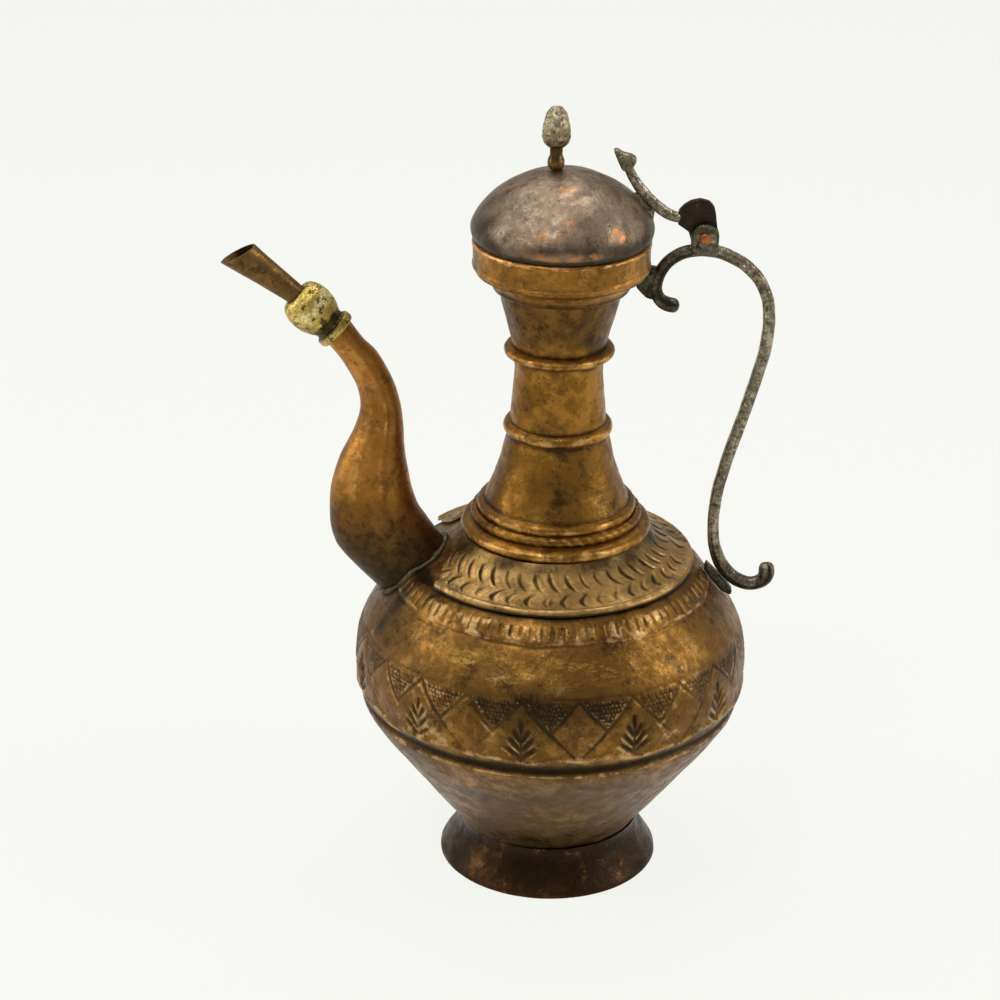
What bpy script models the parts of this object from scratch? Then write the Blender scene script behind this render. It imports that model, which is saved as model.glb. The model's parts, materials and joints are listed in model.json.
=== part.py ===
"""Hammered copper ewer with a hinged domed lid, modelled piece by piece.

Frame: metres, +Z up, the foot stands on Z = 0. The spout points to -X and the handle to +X.
The vessel's own axis is vertical and stands at X = AXIS_X, so that the whole ewer is centred
over the origin. Everything below is written about the vessel's axis and parented to an empty there.
"""
import math

import bmesh
import bpy
from mathutils import Vector

MM = 0.001

# Driving dimensions, in millimetres.
AXIS_X = 22.7            # vessel axis, from the centre of the ewer's overall length
SHEET = 1.4              # thickness of the raised copper sheet
GAP = 0.3                # clearance between soldered or resting neighbours
SEAM_RADIUS = 86.4       # where the two halves of the belly meet
SEAM_HEIGHT = 84.6
BELLY_RADIUS = 89.2
RIM_RADIUS = 38.9
RIM_HEIGHT = 301.4
BELLY_SHIFT = -0.5       # the raised pieces stand a little off one common axis, along X
NECK_SHIFT = 0.9
MOUTH_SHIFT = 1.1
DOME_BASE = 304.0        # the lid's hand-raised dome is higher towards the hinge from here up
DOME_LEAN = 0.05
FINIAL_X = -2.2
PIVOT = (62.5, 303.2)    # lid hinge axis: X and Z, the axis runs along Y
PIN_RADIUS = 1.6
PIN_HOLE_RADIUS = 1.75
BAR_RADIUS = 2.8         # forged handle bar, half its thickness
EAR_INNER = 1.9          # half the slot between the two hinge ears
EAR_OUTER = 4.8
SLOT_RADIUS = 7.2        # relief in the bar under the hinge leaf
TIP_ORIGIN = (-95.0, 256.0)
TIP_TILT = math.radians(42.8)   # rise of the spout's ferrule axis
FERRULE_BORE = 5.1
SPOUT_HOLE_RADIUS = 11.0        # hole in the belly's wall behind the spout
ARM_RADIUS = 2.45               # forged lid arm, half its thickness
SHANK_HOLE_RADIUS = 2.0         # hole in the dome for the finial's shank

BODY_STEPS = 28          # facets round the vessel
SMALL_STEPS = 20         # facets round the small turned pieces
SPOUT_SIDES = 16

# Surface looks: base colour, roughness, metallic.
COPPER = ((0.29, 0.13, 0.045), 0.42, 1.0)
DARK_COPPER = ((0.10, 0.05, 0.025), 0.5, 0.9)
RED_COPPER = ((0.55, 0.20, 0.08), 0.35, 1.0)
LID_COPPER = ((0.20, 0.13, 0.09), 0.48, 0.9)
BRASS = ((0.48, 0.36, 0.13), 0.38, 1.0)
IRON = ((0.14, 0.13, 0.11), 0.5, 0.9)
PEWTER = ((0.36, 0.32, 0.23), 0.45, 0.9)


# ---------------------------------------------------------------- scene helpers

def clear_scene():
    for old in list(bpy.data.objects):
        bpy.data.objects.remove(old, do_unlink=True)


def new_collection(name):
    collection = bpy.data.collections.new(name)
    bpy.context.scene.collection.children.link(collection)
    return collection


def new_material(name, look):
    color, roughness, metallic = look
    material = bpy.data.materials.new(name)
    material.use_nodes = True
    shader = material.node_tree.nodes["Principled BSDF"]
    shader.inputs["Base Color"].default_value = (*color, 1.0)
    shader.inputs["Roughness"].default_value = roughness
    shader.inputs["Metallic"].default_value = metallic
    return material


clear_scene()
PARTS = new_collection("copper_ewer")
CUTTERS = new_collection("cutters")
AXIS = bpy.data.objects.new("vessel_axis", None)
AXIS.location = (AXIS_X * MM, 0, 0)
PARTS.objects.link(AXIS)


def add_part(name, data, look, parent=AXIS):
    part = bpy.data.objects.new(name, data)
    PARTS.objects.link(part)
    part.parent = parent
    data.materials.clear()
    data.materials.append(new_material(name + "_finish", look))
    return part


def hidden(cutter):
    cutter.hide_render = True
    cutter.display_type = "WIRE"
    return cutter


def add_cutter(name, data):
    cutter = bpy.data.objects.new(name, data)
    CUTTERS.objects.link(cutter)
    cutter.parent = AXIS
    return hidden(cutter)


def boolean(part, other, operation="DIFFERENCE"):
    modifier = part.modifiers.new(operation.lower() + "_" + other.name, "BOOLEAN")
    modifier.operation = operation
    modifier.object = other


def smooth(data, angle=40):
    data.shade_smooth()
    data.set_sharp_from_angle(angle=math.radians(angle))


def curve_to_mesh(part):
    """Turn a curve object into a mesh object with its end caps welded on."""
    bpy.context.view_layer.update()
    evaluated = part.evaluated_get(bpy.context.evaluated_depsgraph_get())
    mesh = bpy.data.meshes.new_from_object(evaluated)
    mesh.name = part.name + "_mesh"
    bm = bmesh.new()
    bm.from_mesh(mesh)
    bmesh.ops.remove_doubles(bm, verts=bm.verts, dist=1e-6)
    bmesh.ops.recalc_face_normals(bm, faces=bm.faces)
    bm.to_mesh(mesh)
    bm.free()
    solid = bpy.data.objects.new(part.name, mesh)
    solid.parent = part.parent
    solid.matrix_world = part.matrix_world
    name = part.name
    for collection in part.users_collection:
        collection.objects.link(solid)
    bpy.data.objects.remove(part, do_unlink=True)
    solid.name = name
    return solid


# ---------------------------------------------------------------- outlines

def inner_side(outline, thickness):
    """Points one sheet thickness inside an outline that runs top to bottom on its outer side."""
    points = [Vector(p) for p in outline]
    inner = []
    for i, point in enumerate(points):
        before = (point - points[i - 1]).normalized() if i else None
        after = (points[i + 1] - point).normalized() if i + 1 < len(points) else None
        before = before or after
        after = after or before
        normal = Vector((-(before.y + after.y), before.x + after.x)).normalized()
        stretch = max(0.5, normal.dot(Vector((-before.y, before.x))))
        inner.append(tuple(point - normal * (thickness / stretch)))
    return inner


def sheet_section(outline, thickness=SHEET):
    """Closed section of a sheet: down its outer side and back up its inner side."""
    return list(outline) + inner_side(outline, thickness)[::-1]


def arc(center, radius, start, end, count):
    """Points on an arc in the section plane, angles in degrees from +X towards +Z."""
    points = []
    for i in range(count):
        angle = math.radians(start + (end - start) * i / (count - 1))
        points.append((center[0] + radius * math.cos(angle), center[1] + radius * math.sin(angle)))
    return points


def smooth_path(points, spacing):
    """Points every so often along a Catmull-Rom curve through the given points."""
    vectors = [Vector(p) for p in points]
    ends = [2 * vectors[0] - vectors[1], *vectors, 2 * vectors[-1] - vectors[-2]]
    path = []
    for a, b, c, d in zip(ends, ends[1:], ends[2:], ends[3:]):
        count = max(1, round((c.xy - b.xy).length / spacing))
        for i in range(count):
            t = i / count
            path.append(0.5 * (2 * b + (c - a) * t + (2 * a - 5 * b + 4 * c - d) * t ** 2
                               + (3 * b - a - 3 * c + d) * t ** 3))
    path.append(vectors[-1])
    return path


# ---------------------------------------------------------------- shape helpers

def turned_mesh(name, section, closed=True):
    mesh = bpy.data.meshes.new(name)
    verts = [(x * MM, 0, z * MM) for x, z in section]
    count = len(verts)
    edges = [(i, i + 1) for i in range(count - 1)]
    if closed:
        edges.append((count - 1, 0))
    mesh.from_pydata(verts, edges, [])
    return mesh


def add_screw(part, steps):
    screw = part.modifiers.new("turn", "SCREW")
    screw.steps = steps
    screw.render_steps = steps
    screw.use_merge_vertices = True
    screw.merge_threshold = 0.00001


def turned(name, section, look, shift=0.0, closed=True, steps=BODY_STEPS):
    """A piece turned about an upright axis from its section (radius, height)."""
    part = add_part(name, turned_mesh(name, section, closed), look)
    add_screw(part, steps)
    part.location = (shift * MM, 0, 0)
    return part


def turned_cutter(name, section, shift=0.0):
    """A solid cutter turned from an outer line, closed to its axis at both ends."""
    outline = [(0, section[0][1])] + section + [(0, section[-1][1])]
    cutter = add_cutter(name, turned_mesh(name, outline, False))
    add_screw(cutter, BODY_STEPS)
    cutter.location = (shift * MM, 0, 0)
    return cutter


def plate_curve(name, outline, half_width):
    """A flat outline in the X-Z plane, extruded both ways along Y."""
    curve = bpy.data.curves.new(name, "CURVE")
    curve.dimensions = "2D"
    curve.fill_mode = "BOTH"
    curve.extrude = half_width * MM
    spline = curve.splines.new("POLY")
    spline.points.add(len(outline) - 1)
    for point, (x, z) in zip(spline.points, outline):
        point.co = (x * MM, z * MM, 0, 1)
    spline.use_cyclic_u = True
    return curve


def plate(name, outline, half_width, look, y=0.0):
    part = add_part(name, plate_curve(name, outline, half_width), look)
    part.rotation_euler = (math.pi / 2, 0, 0)
    part.location = (0, y * MM, 0)
    return curve_to_mesh(part)


def plate_cutter(name, outline, half_width, y=0.0, z=0.0, flat=False):
    """A cutting plate: upright in the X-Z plane, or lying flat in the X-Y plane."""
    cutter = add_cutter(name, plate_curve(name, outline, half_width))
    cutter.rotation_euler = (0 if flat else math.pi / 2, 0, 0)
    cutter.location = (0, y * MM, z * MM)
    return hidden(curve_to_mesh(cutter))


def bar_cutter(name, path, radius):
    """The space that a bar and its clearance fill."""
    return hidden(curve_to_mesh(add_cutter(name, bar_curve(name, path, radius, GAP))))


def bar_curve(name, path, radius, extra=0.0):
    """An eight-sided forged bar along a path of (x, z, relative thickness)."""
    curve = bpy.data.curves.new(name, "CURVE")
    curve.dimensions = "3D"
    curve.bevel_depth = (radius + extra) * MM
    curve.bevel_resolution = 2
    curve.use_fill_caps = True
    spline = curve.splines.new("POLY")
    spline.points.add(len(path) - 1)
    for point, (x, z, thickness) in zip(spline.points, path):
        point.co = (x * MM, 0, z * MM, 1)
        point.radius = (radius * thickness + extra) / (radius + extra)
    return curve


def section_ring(low, high, half_depth, wall):
    """One oval ring of a tube: its two edges in the X-Z plane and its half width along Y."""
    low, high = Vector(low), Vector(high)
    middle = (low + high) / 2
    across = (high - low) / 2
    across *= (across.length - wall) / across.length
    ring = []
    for i in range(SPOUT_SIDES):
        angle = 2 * math.pi * i / SPOUT_SIDES
        point = middle + across * math.cos(angle)
        ring.append((point.x * MM, (half_depth - wall) * math.sin(angle) * MM, point.y * MM))
    return ring


def oval_tube(name, stations, wall, look):
    """A hollow loft through unlike oval sections, open at both ends."""
    rings = [section_ring(*station, 0) for station in stations]
    rings += [section_ring(*station, wall) for station in reversed(stations)]
    bm = bmesh.new()
    loops = [[bm.verts.new(co) for co in ring] for ring in rings]
    for this, following in zip(loops, loops[1:] + loops[:1]):
        for i in range(SPOUT_SIDES):
            j = (i + 1) % SPOUT_SIDES
            bm.faces.new((this[i], this[j], following[j], following[i]))
    bmesh.ops.recalc_face_normals(bm, faces=bm.faces)
    mesh = bpy.data.meshes.new(name)
    bm.to_mesh(mesh)
    bm.free()
    smooth(mesh)
    return add_part(name, mesh, look)


# ---------------------------------------------------------------- the vessel's outer lines

FOOT_SECTION = [(41.6, 19.3), (41.2, 17.4), (42.4, 14.0), (45.8, 8.0), (49.4, 2.4), (50.4, 1.2),
                (50.4, 0.0), (46.4, 0.0), (42.6, 5.6), (39.2, 11.6), (37.4, 16.9), (39.4, 16.9),
                (40.9, 19.3)]
BOWL_LINE = [(84.6, 92.6), (84.6, 85.6), (SEAM_RADIUS, SEAM_HEIGHT), (86.0, 82.4), (79.7, 72.0),
             (70.7, 60.0), (52.7, 36.0), (44.1, 25.2), (41.4, 20.8), (38.6, 17.4)]
BELLY_LINE = [(40.2, 164.6), (45.9, 158.8), (51.0, 155.0), (57.0, 151.8), (62.8, 149.6),
              (66.4, 146.0), (72.8, 138.0), (82.2, 126.0), (85.7, 120.0), (88.2, 114.0),
              (BELLY_RADIUS, 106.0), (BELLY_RADIUS, 100.0), (88.4, 91.8), (87.4, 88.8)]
COLLAR_SECTION = [(42.6, 165.5), (46.6, 161.3), (51.6, 157.4), (57.4, 154.3), (63.2, 152.3),
                  (64.0, 151.4), (63.8, 149.9), (62.9, 150.0), (57.2, 152.2), (51.3, 155.3),
                  (46.2, 159.1), (42.6, 162.7)]
NECK_FOOT_LINE = [(21.6, 214.1), (23.7, 206.0), (25.5, 198.0), (28.2, 190.0), (32.4, 180.0),
                  (34.7, 173.6), (37.0, 169.4), (40.0, 166.1)]
NECK_TUBE_LINE = [(20.4, 250.1), (19.3, 242.0), (20.0, 233.0), (21.6, 214.6)]
NECK_TOP_LINE = [(26.8, 278.6), (26.0, 274.0), (23.3, 264.0), (21.2, 256.0), (20.4, 250.6)]
MOUTH_LINE = [(37.4, 287.0), (35.2, 286.7), (33.0, 285.3), (31.3, 283.4), (30.4, 281.6),
              (30.4, 280.2), (29.4, 278.9), (25.6, 278.9)]
DOME_LINE = [(8.2, 331.9), (15.9, 328.6), (24.5, 323.3), (34.0, 315.6), (37.9, 311.0),
             (39.7, 308.2), (40.1, 306.2), (39.6, 304.0), (38.1, 301.8)]


def build_foot():
    turned("foot_ring", FOOT_SECTION, DARK_COPPER)


def build_lower_bowl():
    outline = BOWL_LINE + [(0.0, BOWL_LINE[-1][1])]
    section = inner_side(outline, SHEET)[::-1] + outline
    turned("lower_bowl", section, COPPER, BELLY_SHIFT, closed=False)


def spout_root_cutter():
    """Round hole that lets the water out of the belly into the spout."""
    bpy.ops.mesh.primitive_cylinder_add(vertices=20, radius=SPOUT_HOLE_RADIUS * MM, depth=34 * MM)
    made = bpy.context.object
    mesh = made.data
    bpy.data.objects.remove(made, do_unlink=True)
    cutter = add_cutter("spout_hole", mesh)
    cutter.location = (-66 * MM, 0, 145 * MM)
    cutter.rotation_euler = (0, math.radians(-40), 0)
    return cutter


def build_upper_belly():
    belly = turned("upper_belly", sheet_section(BELLY_LINE), COPPER, BELLY_SHIFT)
    boolean(belly, spout_root_cutter())


def belly_envelope():
    """The belly's outer shape grown by the gap; it trims whatever stands on the belly."""
    return turned_cutter("belly_envelope", inner_side(BELLY_LINE, -GAP), BELLY_SHIFT)


def build_collar():
    """Applied collar on the shoulder, cut away round the spout's root."""
    collar = turned("shoulder_collar", COLLAR_SECTION, COPPER, BELLY_SHIFT)
    notch = plate_cutter("collar_notch", [(-37, -12), (-37, 12), (-70, 50), (-70, -50)], 12,
                         flat=True, z=158)
    boolean(collar, notch)


# ---------------------------------------------------------------- the neck and the mouth

def half_round_bead(inner_radius, radius, height, half_height):
    """Section of a half-round wire ring soldered round the neck."""
    depth = radius - inner_radius
    outer = []
    for degrees in (70, 23, -23, -70):
        angle = math.radians(degrees)
        outer.append((inner_radius + depth * math.cos(angle),
                      height + half_height * math.sin(angle)))
    return outer + [(inner_radius, height - half_height), (inner_radius, height + half_height)]


def build_neck():
    turned("neck_cone", sheet_section(NECK_FOOT_LINE), COPPER, NECK_SHIFT)
    turned("neck_tube", sheet_section(NECK_TUBE_LINE), COPPER, NECK_SHIFT)
    turned("neck_flare", sheet_section(NECK_TOP_LINE), COPPER, NECK_SHIFT)
    turned("lower_neck_bead", half_round_bead(22.7, 24.1, 214.3, 2.9), COPPER, NECK_SHIFT)
    turned("upper_neck_bead", half_round_bead(21.2, 24.4, 250.3, 2.4), COPPER, NECK_SHIFT)
    top_ring = [(33.6, 179.0), (35.0, 178.5), (35.5, 177.2), (35.1, 175.9), (34.4, 175.8)]
    turned("neck_top_ring", top_ring, COPPER, NECK_SHIFT)
    turned("neck_rope_ring", arc((37.4, 173.5), 1.75, 90, -210, 6), COPPER, NECK_SHIFT)
    step = [(38.9, 170.9), (41.2, 169.6), (42.6, 168.0), (42.6, 166.4), (40.5, 166.4), (37.9, 169.4)]
    turned("neck_base_ring", step, COPPER, NECK_SHIFT)


def build_mouth():
    turned("mouth_cup", sheet_section(MOUTH_LINE), COPPER, MOUTH_SHIFT)
    band = [(37.7, RIM_HEIGHT), (38.6, 300.9), (RIM_RADIUS, 299.6), (38.6, 297.6), (38.6, 291.0),
            (RIM_RADIUS, 289.6), (38.4, 288.7), (33.6, 288.7), (33.6, 290.1), (37.1, 290.4),
            (37.1, 300.9)]
    turned("rim_band", band, COPPER, MOUTH_SHIFT)


def mouth_envelope():
    """The mouth cup's and rim band's outer shape grown by the gap."""
    outline = [(RIM_RADIUS + GAP, 302.0), (RIM_RADIUS + GAP, 289.2), (38.6, 288.3), (37.8, 286.7),
               (35.3, 286.4), (33.2, 285.0), (31.6, 283.2), (30.8, 281.4), (30.8, 280.0),
               (29.6, 278.5), (27.2, 278.5), (26.0, 270.0)]
    return turned_cutter("mouth_envelope", outline, MOUTH_SHIFT)


# ---------------------------------------------------------------- the spout

def tip_point(along, across):
    """A point in the X-Z plane, along and to the right of the ferrule's axis."""
    x, z = TIP_ORIGIN
    cos, sin = math.cos(TIP_TILT), math.sin(TIP_TILT)
    return (x - along * cos + across * sin, z + along * sin + across * cos)


def tip_station(along, half_width):
    return (tip_point(along, -half_width), tip_point(along, half_width), half_width)


def build_spout(envelope):
    """Flattened swan-neck tube; each station is its outer edge, inner edge and half width in Y."""
    stations = [((-70, 126.5), (-41, 148), 15.5), ((-80.5, 136.5), (-49.5, 157.5), 16.5),
                ((-94.5, 151.5), (-57.5, 169), 16), ((-99, 159.5), (-61, 174.5), 15.5),
                ((-100.6, 169.5), (-63.5, 182), 14.5), ((-100, 183), (-65.5, 192), 13),
                ((-96, 197.5), (-67, 202.5), 11.5), ((-90, 210), (-67.5, 213), 9.8),
                ((-86.6, 221.5), (-68.8, 223.5), 8.6), ((-88, 231.5), (-72.2, 234.6), 7.8),
                ((-92.0, 240), (-78.6, 246.7), 7.3), ((-96.2, 246.6), (-85, 253.6), 7),
                tip_station(0.9, 7.0), tip_station(4.2, 7.1)]
    body = oval_tube("spout_body", stations, SHEET, COPPER)
    boolean(body, envelope)


def build_ferrule():
    """Turned brass ferrule: a ring, a groove and a ball, bored right through."""
    section = [(FERRULE_BORE, 26.0), (7.2, 26.2), (9.0, 24.8), (10.4, 21.4), (10.8, 17.4),
               (10.3, 13.2), (8.8, 9.6), (7.5, 7.4), (7.5, 5.8), (9.1, 4.9), (9.2, 2.2),
               (8.7, 1.2), (7.6, 1.1), (7.6, 4.6), (FERRULE_BORE, 4.6)]
    part = add_part("spout_ferrule", turned_mesh("spout_ferrule", section), BRASS)
    add_screw(part, SMALL_STEPS)
    part.location = (TIP_ORIGIN[0] * MM, 0, TIP_ORIGIN[1] * MM)
    part.rotation_euler = (0, TIP_TILT - math.pi / 2, 0)


def build_beak():
    """Flared copper pouring tip, its tail inside the ferrule, cut off slanting at the mouth."""
    stations = [tip_station(19.0, 4.65), tip_station(26.4, 4.75), ((-128.8, 277.6), (-119, 284.6), 5.2),
                ((-138, 283.2), (-126, 291), 5.8), ((-146.6, 288.4), (-131.4, 296.5), 6.3)]
    oval_tube("spout_beak", stations, 0.95, COPPER)


# ---------------------------------------------------------------- the handle and its hinge

HANDLE_PATH = [(50.2, 271.0, 1.15), (48.2, 270.9, 1.25), (44.0, 272.9, 1.05), (41.9, 278.0, 1.0),
               (43.0, 285.0, 1.0), (46.8, 291.2, 1.0), (53.0, 295.4, 1.0), (61.0, 296.9, 1.0),
               (70.0, 295.8, 1.0), (80.0, 290.8, 1.0), (87.2, 283.6, 1.0), (91.4, 274.0, 1.0),
               (92.3, 263.0, 1.0), (91.0, 250.0, 1.0), (88.2, 239.0, 1.0), (83.0, 220.0, 1.0),
               (77.2, 201.0, 1.0), (73.0, 184.0, 0.97), (71.5, 170.0, 0.97), (72.2, 157.0, 1.0),
               (75.6, 147.0, 1.05), (81.6, 140.0, 1.0), (88.4, 136.8, 1.0), (94.6, 137.8, 1.0),
               (97.4, 140.6, 1.2), (98.2, 143.2, 1.3), (98.0, 145.4, 0.9)]


def ear_outline():
    x, z = PIVOT
    return arc((x, z + 0.3), 6.0, 0, 180, 11) + [(x - 5.4, 295.4), (x + 5.6, 295.2)]


def pivot_cutter(name, radius, half_length):
    """A round cutter on the hinge axis."""
    return plate_cutter(name, arc(PIVOT, radius, 0, 340, 18), half_length)


def build_handle(mouth, envelope):
    path = smooth_path(HANDLE_PATH, 6.0)
    bar = curve_to_mesh(add_part("handle_bar", bar_curve("handle_bar", path, BAR_RADIUS), IRON))
    middle = (EAR_INNER + EAR_OUTER) / 2
    half = (EAR_OUTER - EAR_INNER) / 2
    for side, y in (("near", -middle), ("far", middle)):
        boolean(bar, plate_cutter("hinge_ear_" + side, ear_outline(), half, y), "UNION")
    boolean(bar, pivot_cutter("leaf_slot", SLOT_RADIUS, EAR_INNER))
    boolean(bar, pivot_cutter("ear_holes", PIN_HOLE_RADIUS, EAR_OUTER + 2))
    clearance = bar_cutter("bar_envelope", path, BAR_RADIUS)
    lug_outline = [(36.0, 286.0), (38.0, 292.0), (40.6, 294.0), (43.0, 292.2), (41.2, 286.6),
                   (40.2, 279.6), (38.6, 278.4), (35.0, 281.4)]
    lug = plate("handle_top_lug", lug_outline, 2.7, IRON)
    boolean(lug, mouth)
    boolean(lug, clearance)
    pad_outline = [(64.0, 149.6), (70.6, 151.8), (74.0, 146.6), (79.6, 140.0), (82.4, 135.2),
                   (80.9, 133.0), (72.0, 136.0)]
    pad = plate("handle_foot_pad", pad_outline, 3.4, IRON)
    boolean(pad, envelope)
    boolean(pad, clearance)


def build_hinge_rivet():
    """Copper rivet through both ears, headed over at each end, lying along Y."""
    face = EAR_OUTER + GAP
    half = [(0, face + 1.1), (1.7, face + 0.9), (2.6, face + 0.4), (2.7, face), (PIN_RADIUS, face)]
    section = half + [(x, -y) for x, y in reversed(half)]
    rivet = add_part("hinge_rivet", turned_mesh("hinge_rivet", section, False), RED_COPPER)
    add_screw(rivet, SMALL_STEPS)
    rivet.location = (PIVOT[0] * MM, 0, PIVOT[1] * MM)
    rivet.rotation_euler = (math.pi / 2, 0, 0)


# ---------------------------------------------------------------- the lid

def raise_unevenly(part):
    """Lift the dome towards the hinge, as its maker raised it, and keep its base level."""
    solid = curve_to_mesh(part)
    for vertex in solid.data.vertices:
        height = vertex.co.z / MM - DOME_BASE
        share = min(1.0, max(0.0, height / 8))
        lift = share * DOME_LEAN * vertex.co.x
        vertex.co.x -= share * DOME_LEAN * height * MM
        vertex.co.z += lift
    return solid


def dome_envelope():
    grown = turned_cutter("dome_envelope", [(0.0, 333.5)] + inner_side(DOME_LINE, -GAP), MOUTH_SHIFT)
    return hidden(raise_unevenly(grown))


def build_lid():
    outline = [(0.0, 333.2)] + DOME_LINE
    inner = inner_side(outline, SHEET)[::-1]
    section = outline + inner[:-1] + [(0.0, 333.2 - SHEET)]
    dome = raise_unevenly(turned("lid_dome", section, LID_COPPER, MOUTH_SHIFT, closed=False))
    circle = arc((FINIAL_X, 0), SHANK_HOLE_RADIUS, 0, 330, 12)
    hole = plate_cutter("finial_hole", circle, 12, z=330, flat=True)
    boolean(dome, hole)
    turned("lid_flange", sheet_section([(36.2, 306.0), (35.7, 302.0), (35.7, 294.5)], 1.1),
           LID_COPPER, MOUTH_SHIFT)


def build_finial():
    """Pine-cone knob on a turned stem, whose shank is riveted over a washer inside the dome."""
    cone = [(0, 360.3), (2.6, 359.4), (4.4, 357.0), (5.9, 351.6), (6.3, 346.8), (5.3, 343.8),
            (3.0, 341.6), (2.8, 338.8), (3.6, 336.8), (3.5, 334.6), (2.9, 333.7), (1.6, 333.6),
            (1.6, 328.6), (0, 328.6)]
    turned("finial", cone, PEWTER, FINIAL_X, closed=False, steps=SMALL_STEPS)
    washer = [(1.9, 331.0), (5.5, 330.2), (5.5, 329.2), (1.9, 329.8)]
    turned("finial_washer", washer, LID_COPPER, FINIAL_X, steps=SMALL_STEPS)


ARM_PATH = [(50.2, 311.4, 0.95), (46.4, 312.6, 1.0), (42.2, 315.6, 1.05), (37.6, 319.8, 1.05),
            (34.0, 324.2, 1.0), (31.0, 328.6, 0.92), (28.8, 333.0, 0.85), (27.6, 336.0, 0.8)]
ARM_HEAD = [(29.9, 331.0), (26.0, 332.4), (24.2, 336.2), (22.2, 341.2), (23.6, 341.8), (26.6, 339.9),
            (30.0, 339.2), (32.2, 337.8), (32.0, 335.6), (30.7, 333.6)]


def build_arm():
    """Forged arm from the hinge leaf to the dome, its free end shaped for the thumb."""
    path = smooth_path(ARM_PATH, 4.0)
    arm = curve_to_mesh(add_part("lid_arm", bar_curve("lid_arm", path, ARM_RADIUS), IRON))
    boolean(arm, plate_cutter("arm_head", ARM_HEAD, 2.3), "UNION")
    seat_outline = [(40.0, 310.0), (40.8, 316.0), (34.8, 322.6), (30.8, 321.4), (31.0, 308.0)]
    seat = plate("arm_seat", seat_outline, 1.6, IRON)
    boolean(seat, dome_envelope())
    boolean(seat, bar_cutter("arm_envelope", path, ARM_RADIUS))


def build_thumb_plate():
    """Flat leaf between the hinge ears, rising into a round lobe."""
    lobe = [(50.8, 308.4), (50.8, 314.4), (53.0, 316.9), (56.0, 318.9), (60.0, 319.8), (64.0, 318.8),
            (66.2, 316.4), (67.0, 313.0), (67.3, 310.0), (67.7, 307.6)]
    outline = lobe + arc(PIVOT, 6.3, 33, -170, 12) + [(55.4, 305.2)]
    leaf = plate("thumb_plate", outline, 1.5, DARK_COPPER)
    boolean(leaf, pivot_cutter("leaf_hole", PIN_HOLE_RADIUS, 4))


LID_PIECES = ("lid_dome", "lid_flange", "finial", "finial_washer", "lid_arm", "arm_seat",
              "thumb_plate")
LID_CUTTERS = ("finial_hole", "dome_envelope", "arm_head", "arm_envelope", "leaf_hole")


def hang_lid():
    """Parent the lid's pieces and their cutters to an empty on the hinge axis."""
    hinge = bpy.data.objects.new("lid_hinge", None)
    hinge.location = (PIVOT[0] * MM, 0, PIVOT[1] * MM)
    hinge.parent = AXIS
    PARTS.objects.link(hinge)
    bpy.context.view_layer.update()
    for name in LID_PIECES + LID_CUTTERS:
        piece = bpy.data.objects[name]
        piece.parent = hinge
        piece.matrix_parent_inverse = hinge.matrix_basis.inverted()


# ---------------------------------------------------------------- build

def build_ewer():
    build_foot()
    build_lower_bowl()
    build_upper_belly()
    envelope = belly_envelope()
    build_collar()
    build_neck()
    build_mouth()
    build_spout(envelope)
    build_ferrule()
    build_beak()
    build_handle(mouth_envelope(), envelope)
    build_hinge_rivet()
    build_lid()
    build_finial()
    build_arm()
    build_thumb_plate()
    hang_lid()


build_ewer()
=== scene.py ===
"""Looks of the hammered copper ewer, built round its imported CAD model.

Lengths inside this script are millimetres about the vessel's own axis; `place` turns them into
metres in the CAD frame. Azimuths are degrees round that axis: 0 faces the camera, 90 the handle.
"""
import json
import math

import bmesh
import bpy
import numpy as np
from mathutils import Matrix, Vector, noise


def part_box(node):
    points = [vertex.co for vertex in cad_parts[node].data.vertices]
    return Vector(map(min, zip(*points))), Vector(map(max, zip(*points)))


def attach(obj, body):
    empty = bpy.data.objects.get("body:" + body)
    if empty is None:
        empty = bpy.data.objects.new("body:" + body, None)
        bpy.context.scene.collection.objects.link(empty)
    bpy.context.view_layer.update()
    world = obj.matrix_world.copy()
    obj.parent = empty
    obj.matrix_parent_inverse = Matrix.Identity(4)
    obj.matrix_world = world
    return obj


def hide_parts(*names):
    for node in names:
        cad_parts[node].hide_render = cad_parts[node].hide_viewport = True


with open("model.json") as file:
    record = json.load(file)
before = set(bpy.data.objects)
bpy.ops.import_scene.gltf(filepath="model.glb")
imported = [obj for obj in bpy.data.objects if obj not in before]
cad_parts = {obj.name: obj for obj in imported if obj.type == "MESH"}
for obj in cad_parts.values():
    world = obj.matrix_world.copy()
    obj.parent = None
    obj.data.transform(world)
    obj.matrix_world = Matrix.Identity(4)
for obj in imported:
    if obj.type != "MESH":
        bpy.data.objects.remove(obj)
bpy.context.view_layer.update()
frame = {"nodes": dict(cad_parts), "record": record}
MM = 0.001


def middle_x(node):
    low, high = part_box(node)
    return (low[0] + high[0]) / 2 / MM


# The axes that the turned pieces stand on, all read from the CAD model.
FOOT_X = middle_x("foot_ring")
BELLY_X = middle_x("upper_belly")
NECK_X = middle_x("neck_tube")
MOUTH_X = middle_x("rim_band")
FINIAL_X = middle_x("finial")
HINGE = frame["record"]["behaviour"]["joints"][0]["pos_m"]
PIVOT = (HINGE[0] / MM - FOOT_X, HINGE[2] / MM)

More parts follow.
